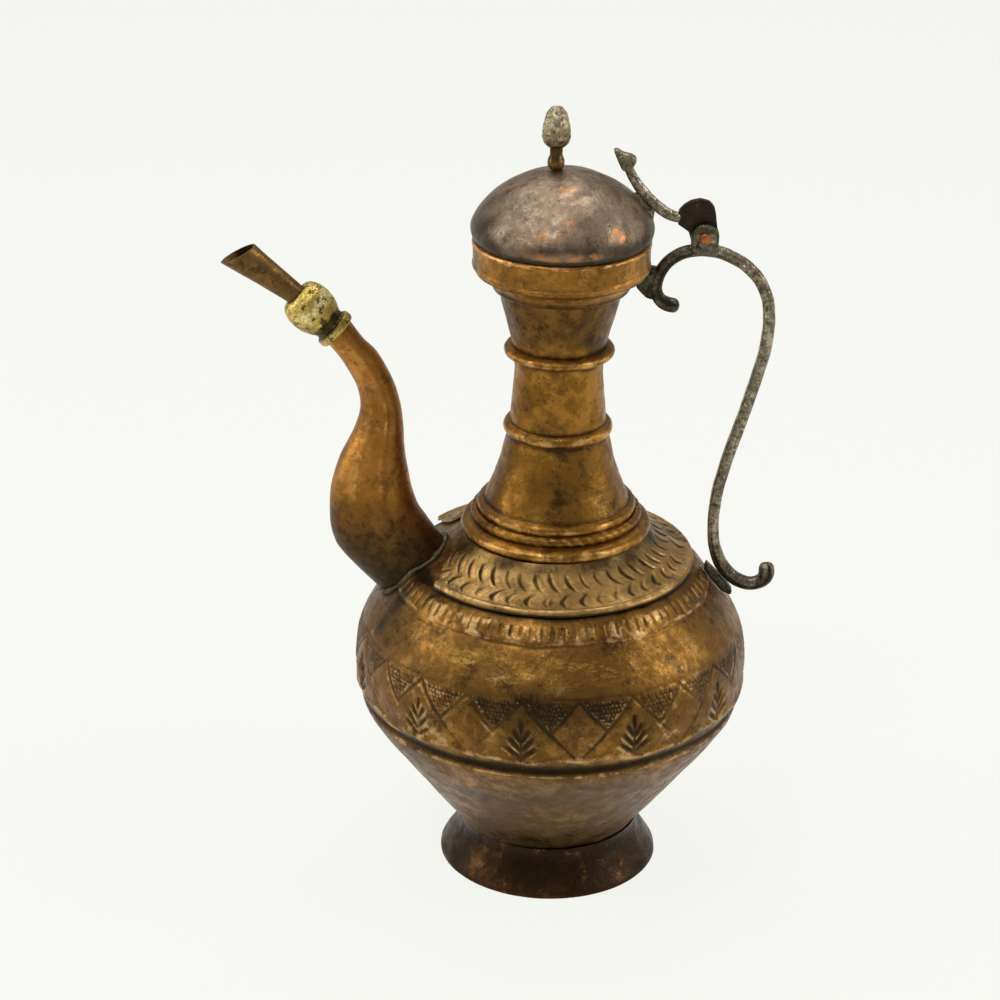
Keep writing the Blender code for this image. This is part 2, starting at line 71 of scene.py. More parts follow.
SHEET = 1.4              # thickness of the copper sheet
BAR_RADIUS = 2.8         # half the thickness of the handle's bar
EAR_INNER = 1.9          # half the slot between the hinge ears
EAR_OUTER = 4.8          # outer face of each hinge ear, from the ewer's middle plane
SLOT_RADIUS = 7.2        # radius, about the hinge axis, of the slot cut into the bar
PIN_HOLE = 1.75          # radius of the holes that the hinge's rivet passes through
RIDGE_TURN = 1.5 * math.pi - 0.31   # where round the forged bar a painted shade line runs lengthwise, with a lighter painted face beside it
DOME_BASE = 304.0        # the lid's dome leans from here up
LEAN = 0.015             # slope by which the lid's dome rises towards the hinge
TIP_ORIGIN = (-95.0, 256.0)      # X and Z where the spout's straight tip starts
TIP_TILT = math.radians(42.8)    # how steeply the tip rises
CELLS = 22               # triangles round the belly's ornament
CELL = 360 / CELLS
FIRST_TIP = -0.6         # azimuth of the triangle tip that faces the camera
ORNAMENT_RADIUS = 89     # radius that the ornament's small punches are spaced on
HERRINGBONE = 45         # strokes round the collar
HATCHES = 90             # strokes round the shoulder
HATCH_PITCH = 4.8        # between two strokes of the shoulder
FLOOR_REACH = 60         # metres from the middle of the floor to each edge
LIGHTS_AIM = (0.0, 0.0, 0.19)    # metres


# ---------------------------------------------------------------- meshes

def place(points, axis_x):
    """Millimetres about an upright axis at axis_x, to metres in the CAD frame."""
    moved = np.array(points, dtype=float)
    moved[..., 0] += axis_x
    return moved * MM


def dense(points, spacing, soften):
    """Even points along a line, with its corners softened over a few millimetres."""
    points = np.array(points, dtype=float)
    run = np.concatenate([[0], np.cumsum(np.linalg.norm(np.diff(points, axis=0), axis=1))])
    even = np.linspace(0, run[-1], max(4, round(run[-1] / spacing)))
    line = np.stack([np.interp(even, run, column) for column in points.T], axis=1)
    step = even[1] - even[0]
    reach = int(3 * soften / step) + 1
    weights = np.exp(-0.5 * (np.arange(-reach, reach + 1) * step / soften) ** 2)
    weights /= weights.sum()
    before = 2 * line[0] - line[1:reach + 1][::-1]
    after = 2 * line[-1] - line[-reach - 1:-1][::-1]
    if len(before) < reach:
        return line
    padded = np.concatenate([before, line, after])
    return np.stack([np.convolve(column, weights, "valid") for column in padded.T], axis=1)


def unit(vectors):
    """The same vectors with a length of 1."""
    return vectors / np.maximum(np.linalg.norm(vectors, axis=-1, keepdims=True), 1e-9)


def circle(count):
    """Even angles round a full turn."""
    return np.linspace(0, 2 * math.pi, count, endpoint=False)


def line_normals(line):
    """Outward normals of a section line that runs down its outer side."""
    along = unit(np.gradient(line, axis=0))
    return np.stack([-along[:, 1], along[:, 0]], axis=1)


def linked(name, data):
    """A new object in the scene."""
    made = bpy.data.objects.new(name, data)
    bpy.context.scene.collection.objects.link(made)
    return made


def make_object(name, verts, faces, marks):
    """A smooth-shaded mesh object, with named numbers from 0 to 1 kept on its points."""
    mesh = bpy.data.meshes.new(name)
    mesh.from_pydata(verts.reshape(-1, 3).tolist(), [], faces)
    for key, values in marks.items():
        layer = mesh.attributes.new(key, "FLOAT", "POINT")
        layer.data.foreach_set("value", np.clip(values, 0, 1).astype(np.float32).ravel())
    bm = bmesh.new()
    bm.from_mesh(mesh)
    bmesh.ops.remove_doubles(bm, verts=bm.verts, dist=1e-6)
    bmesh.ops.recalc_face_normals(bm, faces=bm.faces)
    bm.to_mesh(mesh)
    bm.free()
    mesh.shade_smooth()
    mesh.set_sharp_from_angle(angle=math.radians(50))
    return linked(name, mesh)


def grid_faces(rows, columns, wrap_rows, wrap_columns):
    """Quads of a grid whose points are numbered row by row."""
    faces = []
    for i in range(rows if wrap_rows else rows - 1):
        here, there = i * columns, (i + 1) % rows * columns
        for k in range(columns if wrap_columns else columns - 1):
            after = (k + 1) % columns
            faces.append((here + k, here + after, there + after, there + k))
    return faces


def dents(points, size, depth):
    """Soft facets left by a round-faced hammer, and a slower unevenness under them."""
    lift = np.empty(len(points))
    for i, point in enumerate(points):
        near = noise.voronoi(Vector(point) / size)[0][0]
        slow = noise.noise(Vector(point) / (size * 3.5))
        lift[i] = depth * (near * near - 0.25 + 0.9 * slow)
    return lift


def turned(name, outer, inner, axis_x, relief, steps, hammer, span=None, residue=None):
    """A piece turned about an upright axis, its outer face chased and hammered.

    relief(azimuth, radius, height) gives the lift in mm, the darkening (soiling in the hollows, and
    painted shade) and the brightening (rubbing, and painted highlights).
    hammer gives the size and depth of its dents, or None for a piece without them.
    span(radius) gives half the width, in degrees, of a gap left open on the spout's side.
    residue(azimuth, height) gives how much dried crust is left on the outer face.
    """
    section = np.concatenate([outer, inner]) if len(inner) else np.array(outer)
    turn = np.arange(steps) / steps if span is None else np.linspace(0, 1, steps)
    gap = np.zeros(len(section)) if span is None else span(section[:, 0])
    azimuth = -90 + gap[None, :] + turn[:, None] * (360 - 2 * gap[None, :])
    radius = np.broadcast_to(section[:, 0], azimuth.shape).copy()
    height = np.broadcast_to(section[:, 1], azimuth.shape).copy()
    # The dark mark holds soiling and painted shade, the bright one rubbing and painted highlights.
    marks = {"grime_and_shade": np.zeros(azimuth.shape), "wear_and_highlight": np.zeros(azimuth.shape)}
    count = len(outer)
    lift = np.zeros((steps, count))
    face = azimuth[:, :count], radius[:, :count], height[:, :count]
    if relief:
        lift, marks["grime_and_shade"][:, :count], marks["wear_and_highlight"][:, :count] = relief(*face)
    if residue:
        marks["residue"] = np.zeros(azimuth.shape)
        marks["residue"][:, :count] = residue(face[0], face[2])
    angle = np.radians(azimuth)
    if hammer:
        spots = np.stack([face[1] * np.sin(angle[:, :count]), -face[1] * np.cos(angle[:, :count]),
                          face[2]], axis=-1).reshape(-1, 3)
        beaten = dents(spots, *hammer).reshape(lift.shape)
        lift = lift + beaten
        marks["grime_and_shade"][:, :count] += np.clip(-beaten / hammer[1] * 0.5, 0, 0.3)
        marks["wear_and_highlight"][:, :count] += np.clip(beaten / hammer[1] * 0.5, 0, 0.4)
    normals = line_normals(outer)
    off_axis = np.clip(section[:count, 0] / 2, 0, 1)
    radius[:, :count] += lift * normals[:, 0] * off_axis
    height[:, :count] += lift * normals[:, 1] * off_axis
    verts = np.stack([radius * np.sin(angle), -radius * np.cos(angle), height], axis=-1)
    on_axis = outer[0][0] < 1e-6 or outer[-1][0] < 1e-6
    faces = grid_faces(steps, len(section), span is None, not on_axis)
    if span is not None:
        last = (steps - 1) * len(section)
        for k in range(count - 1):
            mate = len(section) - 1 - k
            faces.append((k, mate, mate - 1, k + 1))
            faces.append((last + k, last + k + 1, last + mate - 1, last + mate))
    return make_object(name, place(verts, axis_x), faces, marks)


def wall(line, thickness=SHEET):
    """The inner face of a sheet, running back up under its outer face."""
    return (line - line_normals(line) * thickness)[::-1]


def groove(distance, width):
    return np.exp(-(distance / width) ** 2)


def between(value, low, high, edge=0.6):
    """1 inside a range and 0 outside it, with soft edges."""
    rise = 1 / (1 + np.exp(-(value - low) / (edge / 2.5)))
    return rise / (1 + np.exp((value - high) / (edge / 2.5)))


def swept(name, path, section, axis_x, hammer, darkening=None):
    """A forged bar: path rows are (x, z, thickness), section(angle) gives its outline.

    dirt(x, z) gives how black the bar is along its length.
    """
    path = np.array(path)
    along = unit(np.gradient(path[:, :2], axis=0))
    angle = circle(20)
    in_plane, across = section(angle)
    side = np.stack([-along[:, 1], along[:, 0]], axis=1)
    offset = path[:, 2][:, None] * in_plane[None, :]
    verts = np.stack([path[:, 0][:, None] + side[:, 0][:, None] * offset,
                      path[:, 2][:, None] * across[None, :],
                      path[:, 1][:, None] + side[:, 1][:, None] * offset], axis=-1)
    centre = np.stack([path[:, 0], np.zeros(len(path)), path[:, 1]], axis=1)[:, None, :]
    spoke = verts - centre
    length = np.maximum(np.linalg.norm(spoke, axis=-1, keepdims=True), 1e-6)
    lift = dents(verts.reshape(-1, 3), *hammer).reshape(verts.shape[:2])
    verts = verts + spoke / length * np.minimum(lift[..., None], length * 0.2)
    faces = grid_faces(len(path), len(angle), False, True)
    ring = len(angle)
    faces.append(tuple(range(ring)))
    faces.append(tuple(range((len(path) - 1) * ring, len(path) * ring))[::-1])
    top = np.clip(spoke[..., 2] / length[..., 0], 0, 1)
    black = np.zeros(len(path)) if darkening is None else darkening(path[:, 0], path[:, 1])
    black = np.repeat(black[:, None], ring, axis=1)
    # Rubbing on the bar's upper side, which is also a painted highlight there, and a lighter painted
    # face beside a painted shade line, the two standing in for a chamfered corner.
    from_ridge = angle[None, :] - RIDGE_TURN
    worn = top ** 2 + 0.55 * between(from_ridge, -1.4, -0.2, 0.3)
    return make_object(name, place(verts, axis_x), faces,
                       {"wear_and_highlight": worn * (1 - 0.8 * black),
                        "grime_and_shade": black + 0.5 * groove(from_ridge, 0.2)})


def forged_section(angle):
    """A square bar with its corners hammered round."""
    c, s = np.cos(angle), np.sin(angle)
    reach = (np.abs(c) ** 3.2 + np.abs(s) ** 3.2) ** (-1 / 3.2)
    return reach * c * 0.94, reach * s * 0.94


def rounded_ends(path, radius, count=5):
    """Path rows scaled by the bar's radius, with a round nose at both ends."""
    rows = np.array(path, dtype=float)
    rows[:, 2] *= radius
    ends = []
    for row, mate in ((rows[0], rows[1]), (rows[-1], rows[-2])):
        out = (row[:2] - mate[:2]) / np.linalg.norm(row[:2] - mate[:2])
        nose = []
        for i in range(1, count + 1):
            turn = math.pi / 2 * i / count
            nose.append([*(row[:2] + out * row[2] * 0.8 * math.sin(turn)),
                         max(row[2] * math.cos(turn), 0.06)])
        ends.append(nose)
    return np.array(ends[0][::-1] + rows.tolist() + ends[1])


def plate(name, outline, half_width, y=0.0, bevel=0.5, black=0.0):
    """A flat forged or cut piece in the X-Z plane with its edges rounded over."""
    curve = bpy.data.curves.new(name, "CURVE")
    curve.dimensions = "2D"
    curve.fill_mode = "BOTH"
    curve.extrude = (half_width - bevel) * MM
    curve.bevel_depth = bevel * MM
    curve.bevel_resolution = 3
    curve.offset = -bevel * MM
    spline = curve.splines.new("POLY")
    line = dense(list(outline) + [outline[0]], 0.7, 0.5)[:-1]
    spline.points.add(len(line) - 1)
    for point, (x, z) in zip(spline.points, line):
        point.co = (x * MM, z * MM, 0, 1)
    spline.use_cyclic_u = True
    made = linked(name, curve)
    made.rotation_euler = (math.pi / 2, 0, 0)
    made.location = (FOOT_X * MM, y * MM, 0)
    bpy.context.view_layer.update()
    mesh = bpy.data.meshes.new_from_object(made.evaluated_get(
        bpy.context.evaluated_depsgraph_get()))
    mesh.transform(made.matrix_world)
    bpy.data.objects.remove(made, do_unlink=True)
    verts = np.array([v.co[:] for v in mesh.vertices])
    faces = [tuple(p.vertices) for p in mesh.polygons]
    bpy.data.meshes.remove(mesh)
    return make_object(name, verts, faces, {"grime_and_shade": np.full(len(verts), black)})


def bored(piece, radius, half_length):
    """Cut a round space on the hinge axis out of a piece."""
    bm = bmesh.new()
    turn = Matrix.Translation(HINGE) @ Matrix.Rotation(math.pi / 2, 4, "X")
    bmesh.ops.create_cone(bm, cap_ends=True, segments=64, radius1=radius * MM,
                          radius2=radius * MM, depth=2 * half_length * MM, matrix=turn)
    mesh = bpy.data.meshes.new("bore")
    bm.to_mesh(mesh)
    bm.free()
    tool = linked("bore", mesh)
    cut = piece.modifiers.new("bore", "BOOLEAN")
    cut.object = tool
    bpy.context.view_layer.update()
    result = bpy.data.meshes.new_from_object(piece.evaluated_get(
        bpy.context.evaluated_depsgraph_get()))
    piece.modifiers.clear()
    piece.data = result
    result.set_sharp_from_angle(angle=math.radians(40))
    bpy.data.objects.remove(tool, do_unlink=True)
    return piece


# ---------------------------------------------------------------- materials

def set_inputs(node, **values):
    """Constants on a node's sockets; an underscore stands for a space in a socket's name."""
    for name, value in values.items():
        node.inputs[name.replace("_", " ")].default_value = value


class Paint:
    """Builds one node material: each call adds a step over the colour so far."""

    def __init__(self, name, roughness, metallic):
        self.material = bpy.data.materials.new(name)
        self.material.use_nodes = True
        self.nodes = self.material.node_tree.nodes
        self.links = self.material.node_tree.links
        self.shader = self.nodes["Principled BSDF"]
        set_inputs(self.shader, Metallic=metallic)
        self.where = self.nodes.new("ShaderNodeTexCoord").outputs["Object"]
        self.roughness = roughness

    def cloud(self, scale, detail, rough, shift=0.0, stretch=None):
        point = self.where
        if shift or stretch:
            mapping = self.nodes.new("ShaderNodeMapping")
            set_inputs(mapping, Location=(shift, shift * 0.7, shift * 1.3), Scale=stretch or (1, 1, 1))
            self.links.new(point, mapping.inputs["Vector"])
            point = mapping.outputs["Vector"]
        texture = self.nodes.new("ShaderNodeTexNoise")
        set_inputs(texture, Scale=scale, Detail=detail, Roughness=rough)
        self.links.new(point, texture.inputs["Vector"])
        return texture.outputs["Fac"]

    def ramp(self, value, low, high, top=1.0, bottom=0.0):
        mapped = self.nodes.new("ShaderNodeMapRange")
        mapped.interpolation_type = "SMOOTHSTEP"
        set_inputs(mapped, From_Min=low, From_Max=high, To_Min=bottom, To_Max=top)
        self.links.new(value, mapped.inputs["Value"])
        return mapped.outputs["Result"]

    def join(self, operation, one, other):
        joined = self.nodes.new("ShaderNodeMath")
        joined.operation = operation
        self.links.new(one, joined.inputs[0])
        self.links.new(other, joined.inputs[1])
        return joined.outputs[0]

    def mark(self, name, amount, low=0.05):
        layer = self.nodes.new("ShaderNodeAttribute")
        layer.attribute_name = name
        return self.ramp(layer.outputs["Fac"], low, 0.95, amount)

    def patchy(self, name, amount, scale):
        """A mark broken up by a cloud, so that it comes and goes along its length."""
        both = self.join("ADD", self.mark(name, 0.26), self.cloud(scale, 8.0, 0.72, 4.4))
        return self.ramp(both, 0.68, 0.84, amount)

    def mixed(self, value):
        """The two colour inputs of a mix whose result becomes the colour so far."""
        mix = self.nodes.new("ShaderNodeMix")
        mix.data_type = "RGBA"
        self.links.new(value, mix.inputs[0])
        self.color = [s for s in mix.outputs if s.type == "RGBA"][0]
        return [s for s in mix.inputs if s.type == "RGBA"]

    def start(self, color, other, value):
        first, second = self.mixed(value)
        first.default_value = (*color, 1)
        second.default_value = (*other, 1)

    def over(self, color, value):
        so_far = self.color
        first, second = self.mixed(value)
        self.links.new(so_far, first)
        second.default_value = (*color, 1)

    def finish(self, grain, bump_scale, bump_depth):
        self.links.new(self.color, self.shader.inputs["Base Color"])
        low, high = self.roughness
        self.links.new(self.ramp(grain, 0.3, 0.7, high, low), self.shader.inputs["Roughness"])
        normal = None
        for scale, depth, strength in ((95, 0.9, 0.45), (bump_scale, bump_depth, 0.75)):
            bump = self.nodes.new("ShaderNodeBump")
            set_inputs(bump, Strength=strength, Distance=depth * MM)
            self.links.new(self.cloud(scale, 7.0, 0.6, 3.1), bump.inputs["Height"])
            if normal:
                self.links.new(normal, bump.inputs["Normal"])
            normal = bump.outputs["Normal"]
        self.links.new(normal, self.shader.inputs["Normal"])
        return self.material


def patina(name, light, deep, dark, bright, roughness=(0.3, 0.56), metallic=0.92,
           stain=0.8, worn=0.35, speck=0.75, bump=(420, 0.35), residue=None, fine=1.0, pits=0.0):
    """Old copper: two mixed tones, dark stains and specks, then the mesh's dark mark, which holds
    soiling in hollows and painted shade, and its bright mark, which holds rubbing on ridges and painted
    highlights.

    fine shrinks the mottling for small pieces, and pits adds coarse dark casting holes.
    """
    paint = Paint(name, roughness, metallic)
    grain = paint.cloud(150 * fine, 8.0, 0.68, 1.7)
    paint.start(light, deep, paint.ramp(paint.cloud(30 * fine, 8.0, 0.7), 0.4, 0.6))
    paint.over(dark, paint.ramp(paint.cloud(48 * fine, 9.0, 0.74, 7.7), 0.49, 0.64, stain))
    paint.over(deep, paint.ramp(grain, 0.46, 0.58, 0.8))
    paint.over(bright, paint.ramp(paint.cloud(85 * fine, 8.0, 0.74, 5.3), 0.56, 0.68, worn))
    if residue:
        streaks = paint.cloud(170, 9.0, 0.82, 9.1, (0.4, 0.4, 1.5))
        broken = paint.ramp(streaks, 0.525, 0.585, 0.8)
        paint.over(residue, paint.join("MULTIPLY", broken, paint.mark("residue", 1.0)))
    paint.over(dark, paint.ramp(paint.cloud(620, 4.0, 0.6, 2.2), 0.6, 0.7, speck))
    # The bright mark: rubbed metal, and painted highlights where a piece lays them.
    paint.over(bright, paint.patchy("wear_and_highlight", 0.85, 130 * fine))
    if pits:
        paint.over(dark, paint.ramp(paint.cloud(155 * fine, 3.0, 0.55, 6.6), 0.57, 0.64, pits))
    # The dark mark: soiling, and painted shade and shadow where a piece lays them.
    paint.over(dark, paint.patchy("grime_and_shade", 0.75, 230))
    paint.over(dark, paint.mark("grime_and_shade", 0.92, 0.2))
    return paint.finish(grain, *bump)


DARK = (0.028, 0.019, 0.008)
LOOKS = {
    "belly": patina("belly_patina", (0.275, 0.13, 0.025), (0.145, 0.068, 0.013), DARK,
                    (0.52, 0.32, 0.135), stain=0.92, residue=(0.34, 0.22, 0.045)),
    "bowl": patina("bowl_patina", (0.24, 0.125, 0.036), (0.125, 0.063, 0.016), DARK,
                   (0.52, 0.29, 0.12), stain=0.75),
    "collar": patina("collar_patina", (0.49, 0.30, 0.10), (0.29, 0.165, 0.050), DARK,
                     (0.74, 0.46, 0.20), worn=0.5),
    "neck": patina("neck_patina", (0.35, 0.16, 0.024), (0.19, 0.086, 0.012), DARK,
                   (0.58, 0.32, 0.10)),
    "rim": patina("rim_patina", (0.43, 0.20, 0.035), (0.25, 0.11, 0.018), DARK,
                  (0.70, 0.38, 0.14), stain=0.7),
    "spout": patina("spout_patina", (0.48, 0.22, 0.042), (0.31, 0.127, 0.020), DARK,
                    (0.58, 0.30, 0.10), stain=0.6, roughness=(0.36, 0.52)),
    "solder": patina("solder_grey", (0.14, 0.113, 0.066), (0.072, 0.055, 0.032),
                     (0.02, 0.016, 0.009), (0.30, 0.24, 0.15), fine=2.5, bump=(520, 0.7)),
    "beak": patina("beak_patina", (0.25, 0.13, 0.036), (0.14, 0.076, 0.022), DARK,
                   (0.46, 0.28, 0.12), fine=1.8),
    "brass": patina("ferrule_brass", (0.72, 0.54, 0.15), (0.40, 0.28, 0.065),
                    (0.035, 0.028, 0.010), (0.85, 0.74, 0.40), bump=(520, 0.6), fine=2.2, pits=0.85),
    "foot": patina("foot_patina", (0.060, 0.026, 0.006), (0.024, 0.011, 0.003),
                   (0.008, 0.005, 0.002), (0.20, 0.085, 0.020), worn=0.6, metallic=0.85),
    "lid": patina("lid_patina", (0.34, 0.25, 0.17), (0.21, 0.152, 0.102),
                  (0.045, 0.031, 0.020), (0.50, 0.215, 0.075), roughness=(0.36, 0.58),
                  worn=0.34, stain=0.7, fine=1.7),
    "finial": patina("finial_metal", (0.46, 0.39, 0.235), (0.21, 0.16, 0.085),
                     (0.035, 0.024, 0.012), (0.66, 0.60, 0.45), bump=(600, 0.9), fine=3.4, pits=0.8),
    "iron": patina("forged_iron", (0.42, 0.365, 0.25), (0.155, 0.125, 0.075),
                   (0.014, 0.011, 0.006), (0.80, 0.75, 0.61), roughness=(0.27, 0.5),
                   worn=0.8, stain=0.95, bump=(480, 0.9), fine=3.6, pits=0.5),
    "thumb": patina("thumb_patina", (0.036, 0.018, 0.006), (0.018, 0.009, 0.003),
                    (0.006, 0.004, 0.002), (0.26, 0.075, 0.030), worn=0.35, metallic=0.7, fine=2.0),
    "rivet": patina("rivet_copper", (0.50, 0.18, 0.06), (0.34, 0.115, 0.036), DARK,
                    (0.72, 0.34, 0.16), worn=0.5, fine=2.5),
}


def dress(piece, look, body, slot, *nodes):
    """Give a piece its material and its body, and hide the CAD nodes it stands for; the slot argument
    is not used.
    """
    piece.data.materials.clear()
    piece.data.materials.append(LOOKS[look])
    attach(piece, body)
    if nodes:
        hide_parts(*nodes)


def dress_iron(piece, body, node):
    dress(piece, "iron", body, "forged_iron", node)


def repaint(node, look):
    """A CAD node whose shape is right keeps it and gets a better material."""
    solid = frame["nodes"][node]
    for slot in solid.material_slots:
        slot.material = LOOKS[look]


# ---------------------------------------------------------------- chased ornament

def leaf(across, up, x, z, reach, lean, width):
    """One slanted leaf punch that starts at (x, z): its dimple, and the burr thrown up round it."""
    dx, dz = math.cos(lean), math.sin(lean)
    along = (across - x) * dx + (up - z) * dz
    aside = -(across - x) * dz + (up - z) * dx
    body = np.sqrt(np.clip(1 - ((along - reach / 2) / (reach / 2)) ** 2, 0, 1))
    longer = np.sqrt(np.clip(1 - ((along - reach / 2) / (reach / 2 + 1)) ** 2, 0, 1))
    return body * groove(aside, width), longer * groove(np.abs(aside) - 1.9 * width, 0.6 * width)


def punches(across, up, pitch, size):
    """Round dimples on a staggered grid."""
    row = np.round(up / (pitch * 0.87))
    offset = (row % 2) * pitch / 2 + 0.35 * np.sin(row * 12.9)
    dx = across - offset - np.round((across - offset) / pitch) * pitch
    dz = up - row * pitch * 0.87
    return np.exp(-((dx * dx + dz * dz) / size ** 2) ** 1.4)


def grains(across, up, pitch, size):
    """Round grains set by hand on a loose grid, each a little off its place."""
    row = np.round(up / pitch)
    column = np.round(across / pitch - (row % 2) / 2)
    seed = row * 37 + column
    dx = across - (column + (row % 2) / 2 + 0.4 * (uneven(seed, 0) - 0.5)) * pitch
    dz = up - (row + 0.4 * (uneven(seed + 11, 0) - 0.5)) * pitch
    return np.exp(-((dx * dx + dz * dz) / size ** 2) ** 1.4)


def uneven(number, low=0.5):
    """A repeatable strength from low to 1 for each numbered stroke of the chisel."""
    hashed = np.abs(np.sin(number * 12.9898 + 4.1) * 43758.5453) % 1.0
    return low + (1 - low) * hashed


def slow_wave(azimuth, height):
    """A slow unevenness between -1 and 1 over the whole surface."""
    turn = np.radians(azimuth)
    return (np.sin(turn * 7 + height * 0.21 + 1) + np.sin(turn * 13 - height * 0.37)) / 2


def belly_relief(azimuth, radius, height):
    """The chased band round the belly, the hatched line above it and the lip at the seam; painted
    highlights on the raised hatched band, on the line under it, along the edges of the chased lines and
    on the burrs round the leaves; painted shadow under the collar's edge, and a painted dark reflection
    on the front.
    """
    cell = (azimuth - FIRST_TIP) / CELL
    from_tip = cell - np.round(cell)
    index = np.floor(cell)
    from_middle = cell - index - 0.5
    across = np.radians(from_middle * CELL) * radius
    tips, lower_tips = 106, 92      # heights that the two rows of lines start from
    rise = 28.0                     # how far they climb over one cell
    slant = 0.67                    # turns a height above a slanted line into its distance
    wobble = 0.35 * np.sin(np.radians(azimuth) * 9) + 0.25 * np.sin(np.radians(azimuth) * 23 + 1)
    upper = (height - (tips + rise * np.abs(from_tip)) - wobble) * slant
    band = between(height, 93.5, 120.2)
    cut = 0.55 * groove(upper, 0.7) * band * uneven(np.round(cell * 2), 0.6)
    diamond = (index % 2 == 0)
    lower = (height - (lower_tips + rise * np.abs(from_middle)) - wobble) * slant
    cut = np.maximum(cut, 0.5 * groove(lower, 0.75) * band * (height < 106.5) * diamond
                     * uneven(index + 7))
    grain = grains(np.radians(azimuth) * ORNAMENT_RADIUS, height, 1.75, 0.72)
    inside = between(upper, 0.9, 40) * between(height, 93, 119.6)
    cut = np.maximum(cut, 0.3 * (1 - grain) * inside)
    inner = np.abs(height - 105) / 14 + np.abs(across) / 12.7
    row = punches(np.radians(azimuth) * ORNAMENT_RADIUS, height, 3.2, 0.7)
    cut = np.maximum(cut, 0.22 * row * (np.abs(inner - 0.66) < 0.1) * diamond)
    sprig = 0.6 * groove(across, 0.6) * between(height, 92.5, 111)
    burr = np.zeros_like(sprig)
    for level, reach, tilt in ((93.5, 9.0, 40), (97.0, 9.0, 52), (101.5, 7.5, 60)):
        for lean in (math.radians(tilt), math.radians(180 - tilt)):
            dimple, thrown = leaf(across, height, 0, level, reach, lean, 0.95)
            sprig = np.maximum(sprig, dimple)
            burr = np.maximum(burr, thrown)
    sprig = np.maximum(sprig, leaf(across, height, 0, 106, 6.5, math.pi / 2, 0.9)[0])
    sprig = sprig * (1 + 0.25 * slow_wave(azimuth, height)) * (index % 2 != 0) * uneven(index, 0.75)
    burr = burr * (index % 2 != 0) * np.clip(1 - 1.6 * sprig, 0, 1)
    cut = np.maximum(cut, sprig)
    swell = 0.3 * groove(np.abs(across) - 8.5, 2.5) * between(height, 96, 108, 4)
    cut = np.maximum(cut, 0.35 * groove(height - 120.8 - wobble, 0.6) * uneven(index, 0.3))
    stroke = azimuth * HATCHES / 360
    number = np.round(stroke)
    aside = (stroke - number) * HATCH_PITCH + 0.7 * (uneven(number + 3, 0) - 0.5)
    foot_of_stroke = 141.4 + 1.4 * uneven(number + 31, 0)
    hatch = groove(aside, 0.62) * between(height, foot_of_stroke, 146.2)
    cut = np.maximum(cut, 0.6 * hatch * uneven(number, 0.45))
    cut = np.maximum(cut, 0.3 * groove(height - 139.4 - wobble, 0.45))
    lip = 0.9 * groove(height - 92.6 - 2.6 * wobble, 1.3)
    raised = 0.5 * between(height, 140.4, 147.2, 1.2)
    darkening = np.clip(cut * 0.95, 0, 0.66) + 0.9 * between(height, 84, 90.2, 1.5)
    darkening += 0.3 * inside * (1 - grain) + 0.2 * between(height, 94, 124, 6)
    # Painted dark reflection on the belly's front.
    darkening += 0.36 * groove(azimuth - 4, 22) * between(height, 98, 130, 10)
    # Painted shadow under the collar's edge.
    darkening += 0.85 * groove(height - 149.8, 1.7)
    streak = groove(azimuth + 70, 5) * between(height, 128, 149, 5)
    # Painted highlight along the line under the hatched band.
    shine = 0.8 * lip + 0.6 * groove(height - 140.3 - wobble, 0.6)
    # Painted highlight on the raised hatched band.
    shine += 1.25 * raised * (1 - hatch) + 0.5 * swell * diamond
    shine += 0.5 * inside * grain + 0.3 * between(height, 93, 104, 4) * (1 - sprig)
    # Painted highlights along the edges of the chased lines and on the burrs round the leaves.
    shine += 0.45 * groove(np.abs(upper) - 1.4, 0.8) * band + 0.8 * burr
    return lip + raised + swell + 0.22 * burr - cut, darkening + 0.6 * streak, shine


def belly_residue(azimuth, height):
    """A yellow crust in a band above the ornament, thickest in front."""
    return between(height, 126, 135, 4) * (0.25 + 0.75 * between(azimuth, -40, 28, 12))


def collar_gap(radius):
    """Half the collar's opening round the spout, in degrees. It widens towards the outer edge."""
    return 18 + 17 * np.clip((radius - 43) / 21, 0, 1)


def collar_relief(azimuth, radius, height):
    """Two rows of crescent strokes in a loose herringbone, with a raised scale beside each, a painted
    highlight along the outer edge, and painted shade on the turned-down face under it.
    """
    t = (radius - 44.0) / 18.0
    cut = np.zeros_like(t)
    swell = np.zeros_like(t)
    for low, high, bow, slope, shift, seed in ((0.12, 0.50, 0.8, 1.5, 0.0, 0),
                                               (0.52, 0.90, 1.5, -0.7, 0.35, 50)):
        u = (t - (low + high) / 2) / ((high - low) / 2)
        stroke = azimuth * HERRINGBONE / 360 - 0.22 * (slope * u + bow * (u * u - 0.4)) + shift
        number = np.round(stroke)
        pitch = np.radians(360 / HERRINGBONE) * radius
        offset = (stroke - number) * pitch + 0.8 * (uneven(number + seed + 9, 0) - 0.5)
        length = between(u, -0.85, 0.85, 0.35)
        force = uneven(number + seed, 0.35)
        cut = np.maximum(cut, 0.85 * groove(offset, 0.5 + 0.35 * (1 - u * u)) * length * force)
        scale = np.exp(-np.clip(offset - 0.8, 0, None) / 2.4) * between(offset, 0.7, 90)
        swell = np.maximum(swell, 0.5 * scale * length * force)
    edge = groove((t - 1.03) * 18, 0.9)
    darkening = np.clip(cut * 1.5, 0, 0.85) + 0.5 * between(t, -0.2, 0.15, 0.12)
    darkening += 0.2 + 0.16 * slow_wave(azimuth, height)
    # Painted shade on the turned-down outer face, kept off the edge itself.
    darkening = darkening * (1 - 0.8 * edge) + 0.75 * between(height, 140, 151.3, 0.4)
    # A painted highlight runs along the outer edge.
    return swell - cut + 0.45 * edge, darkening, swell * 1.3 + 0.9 * edge


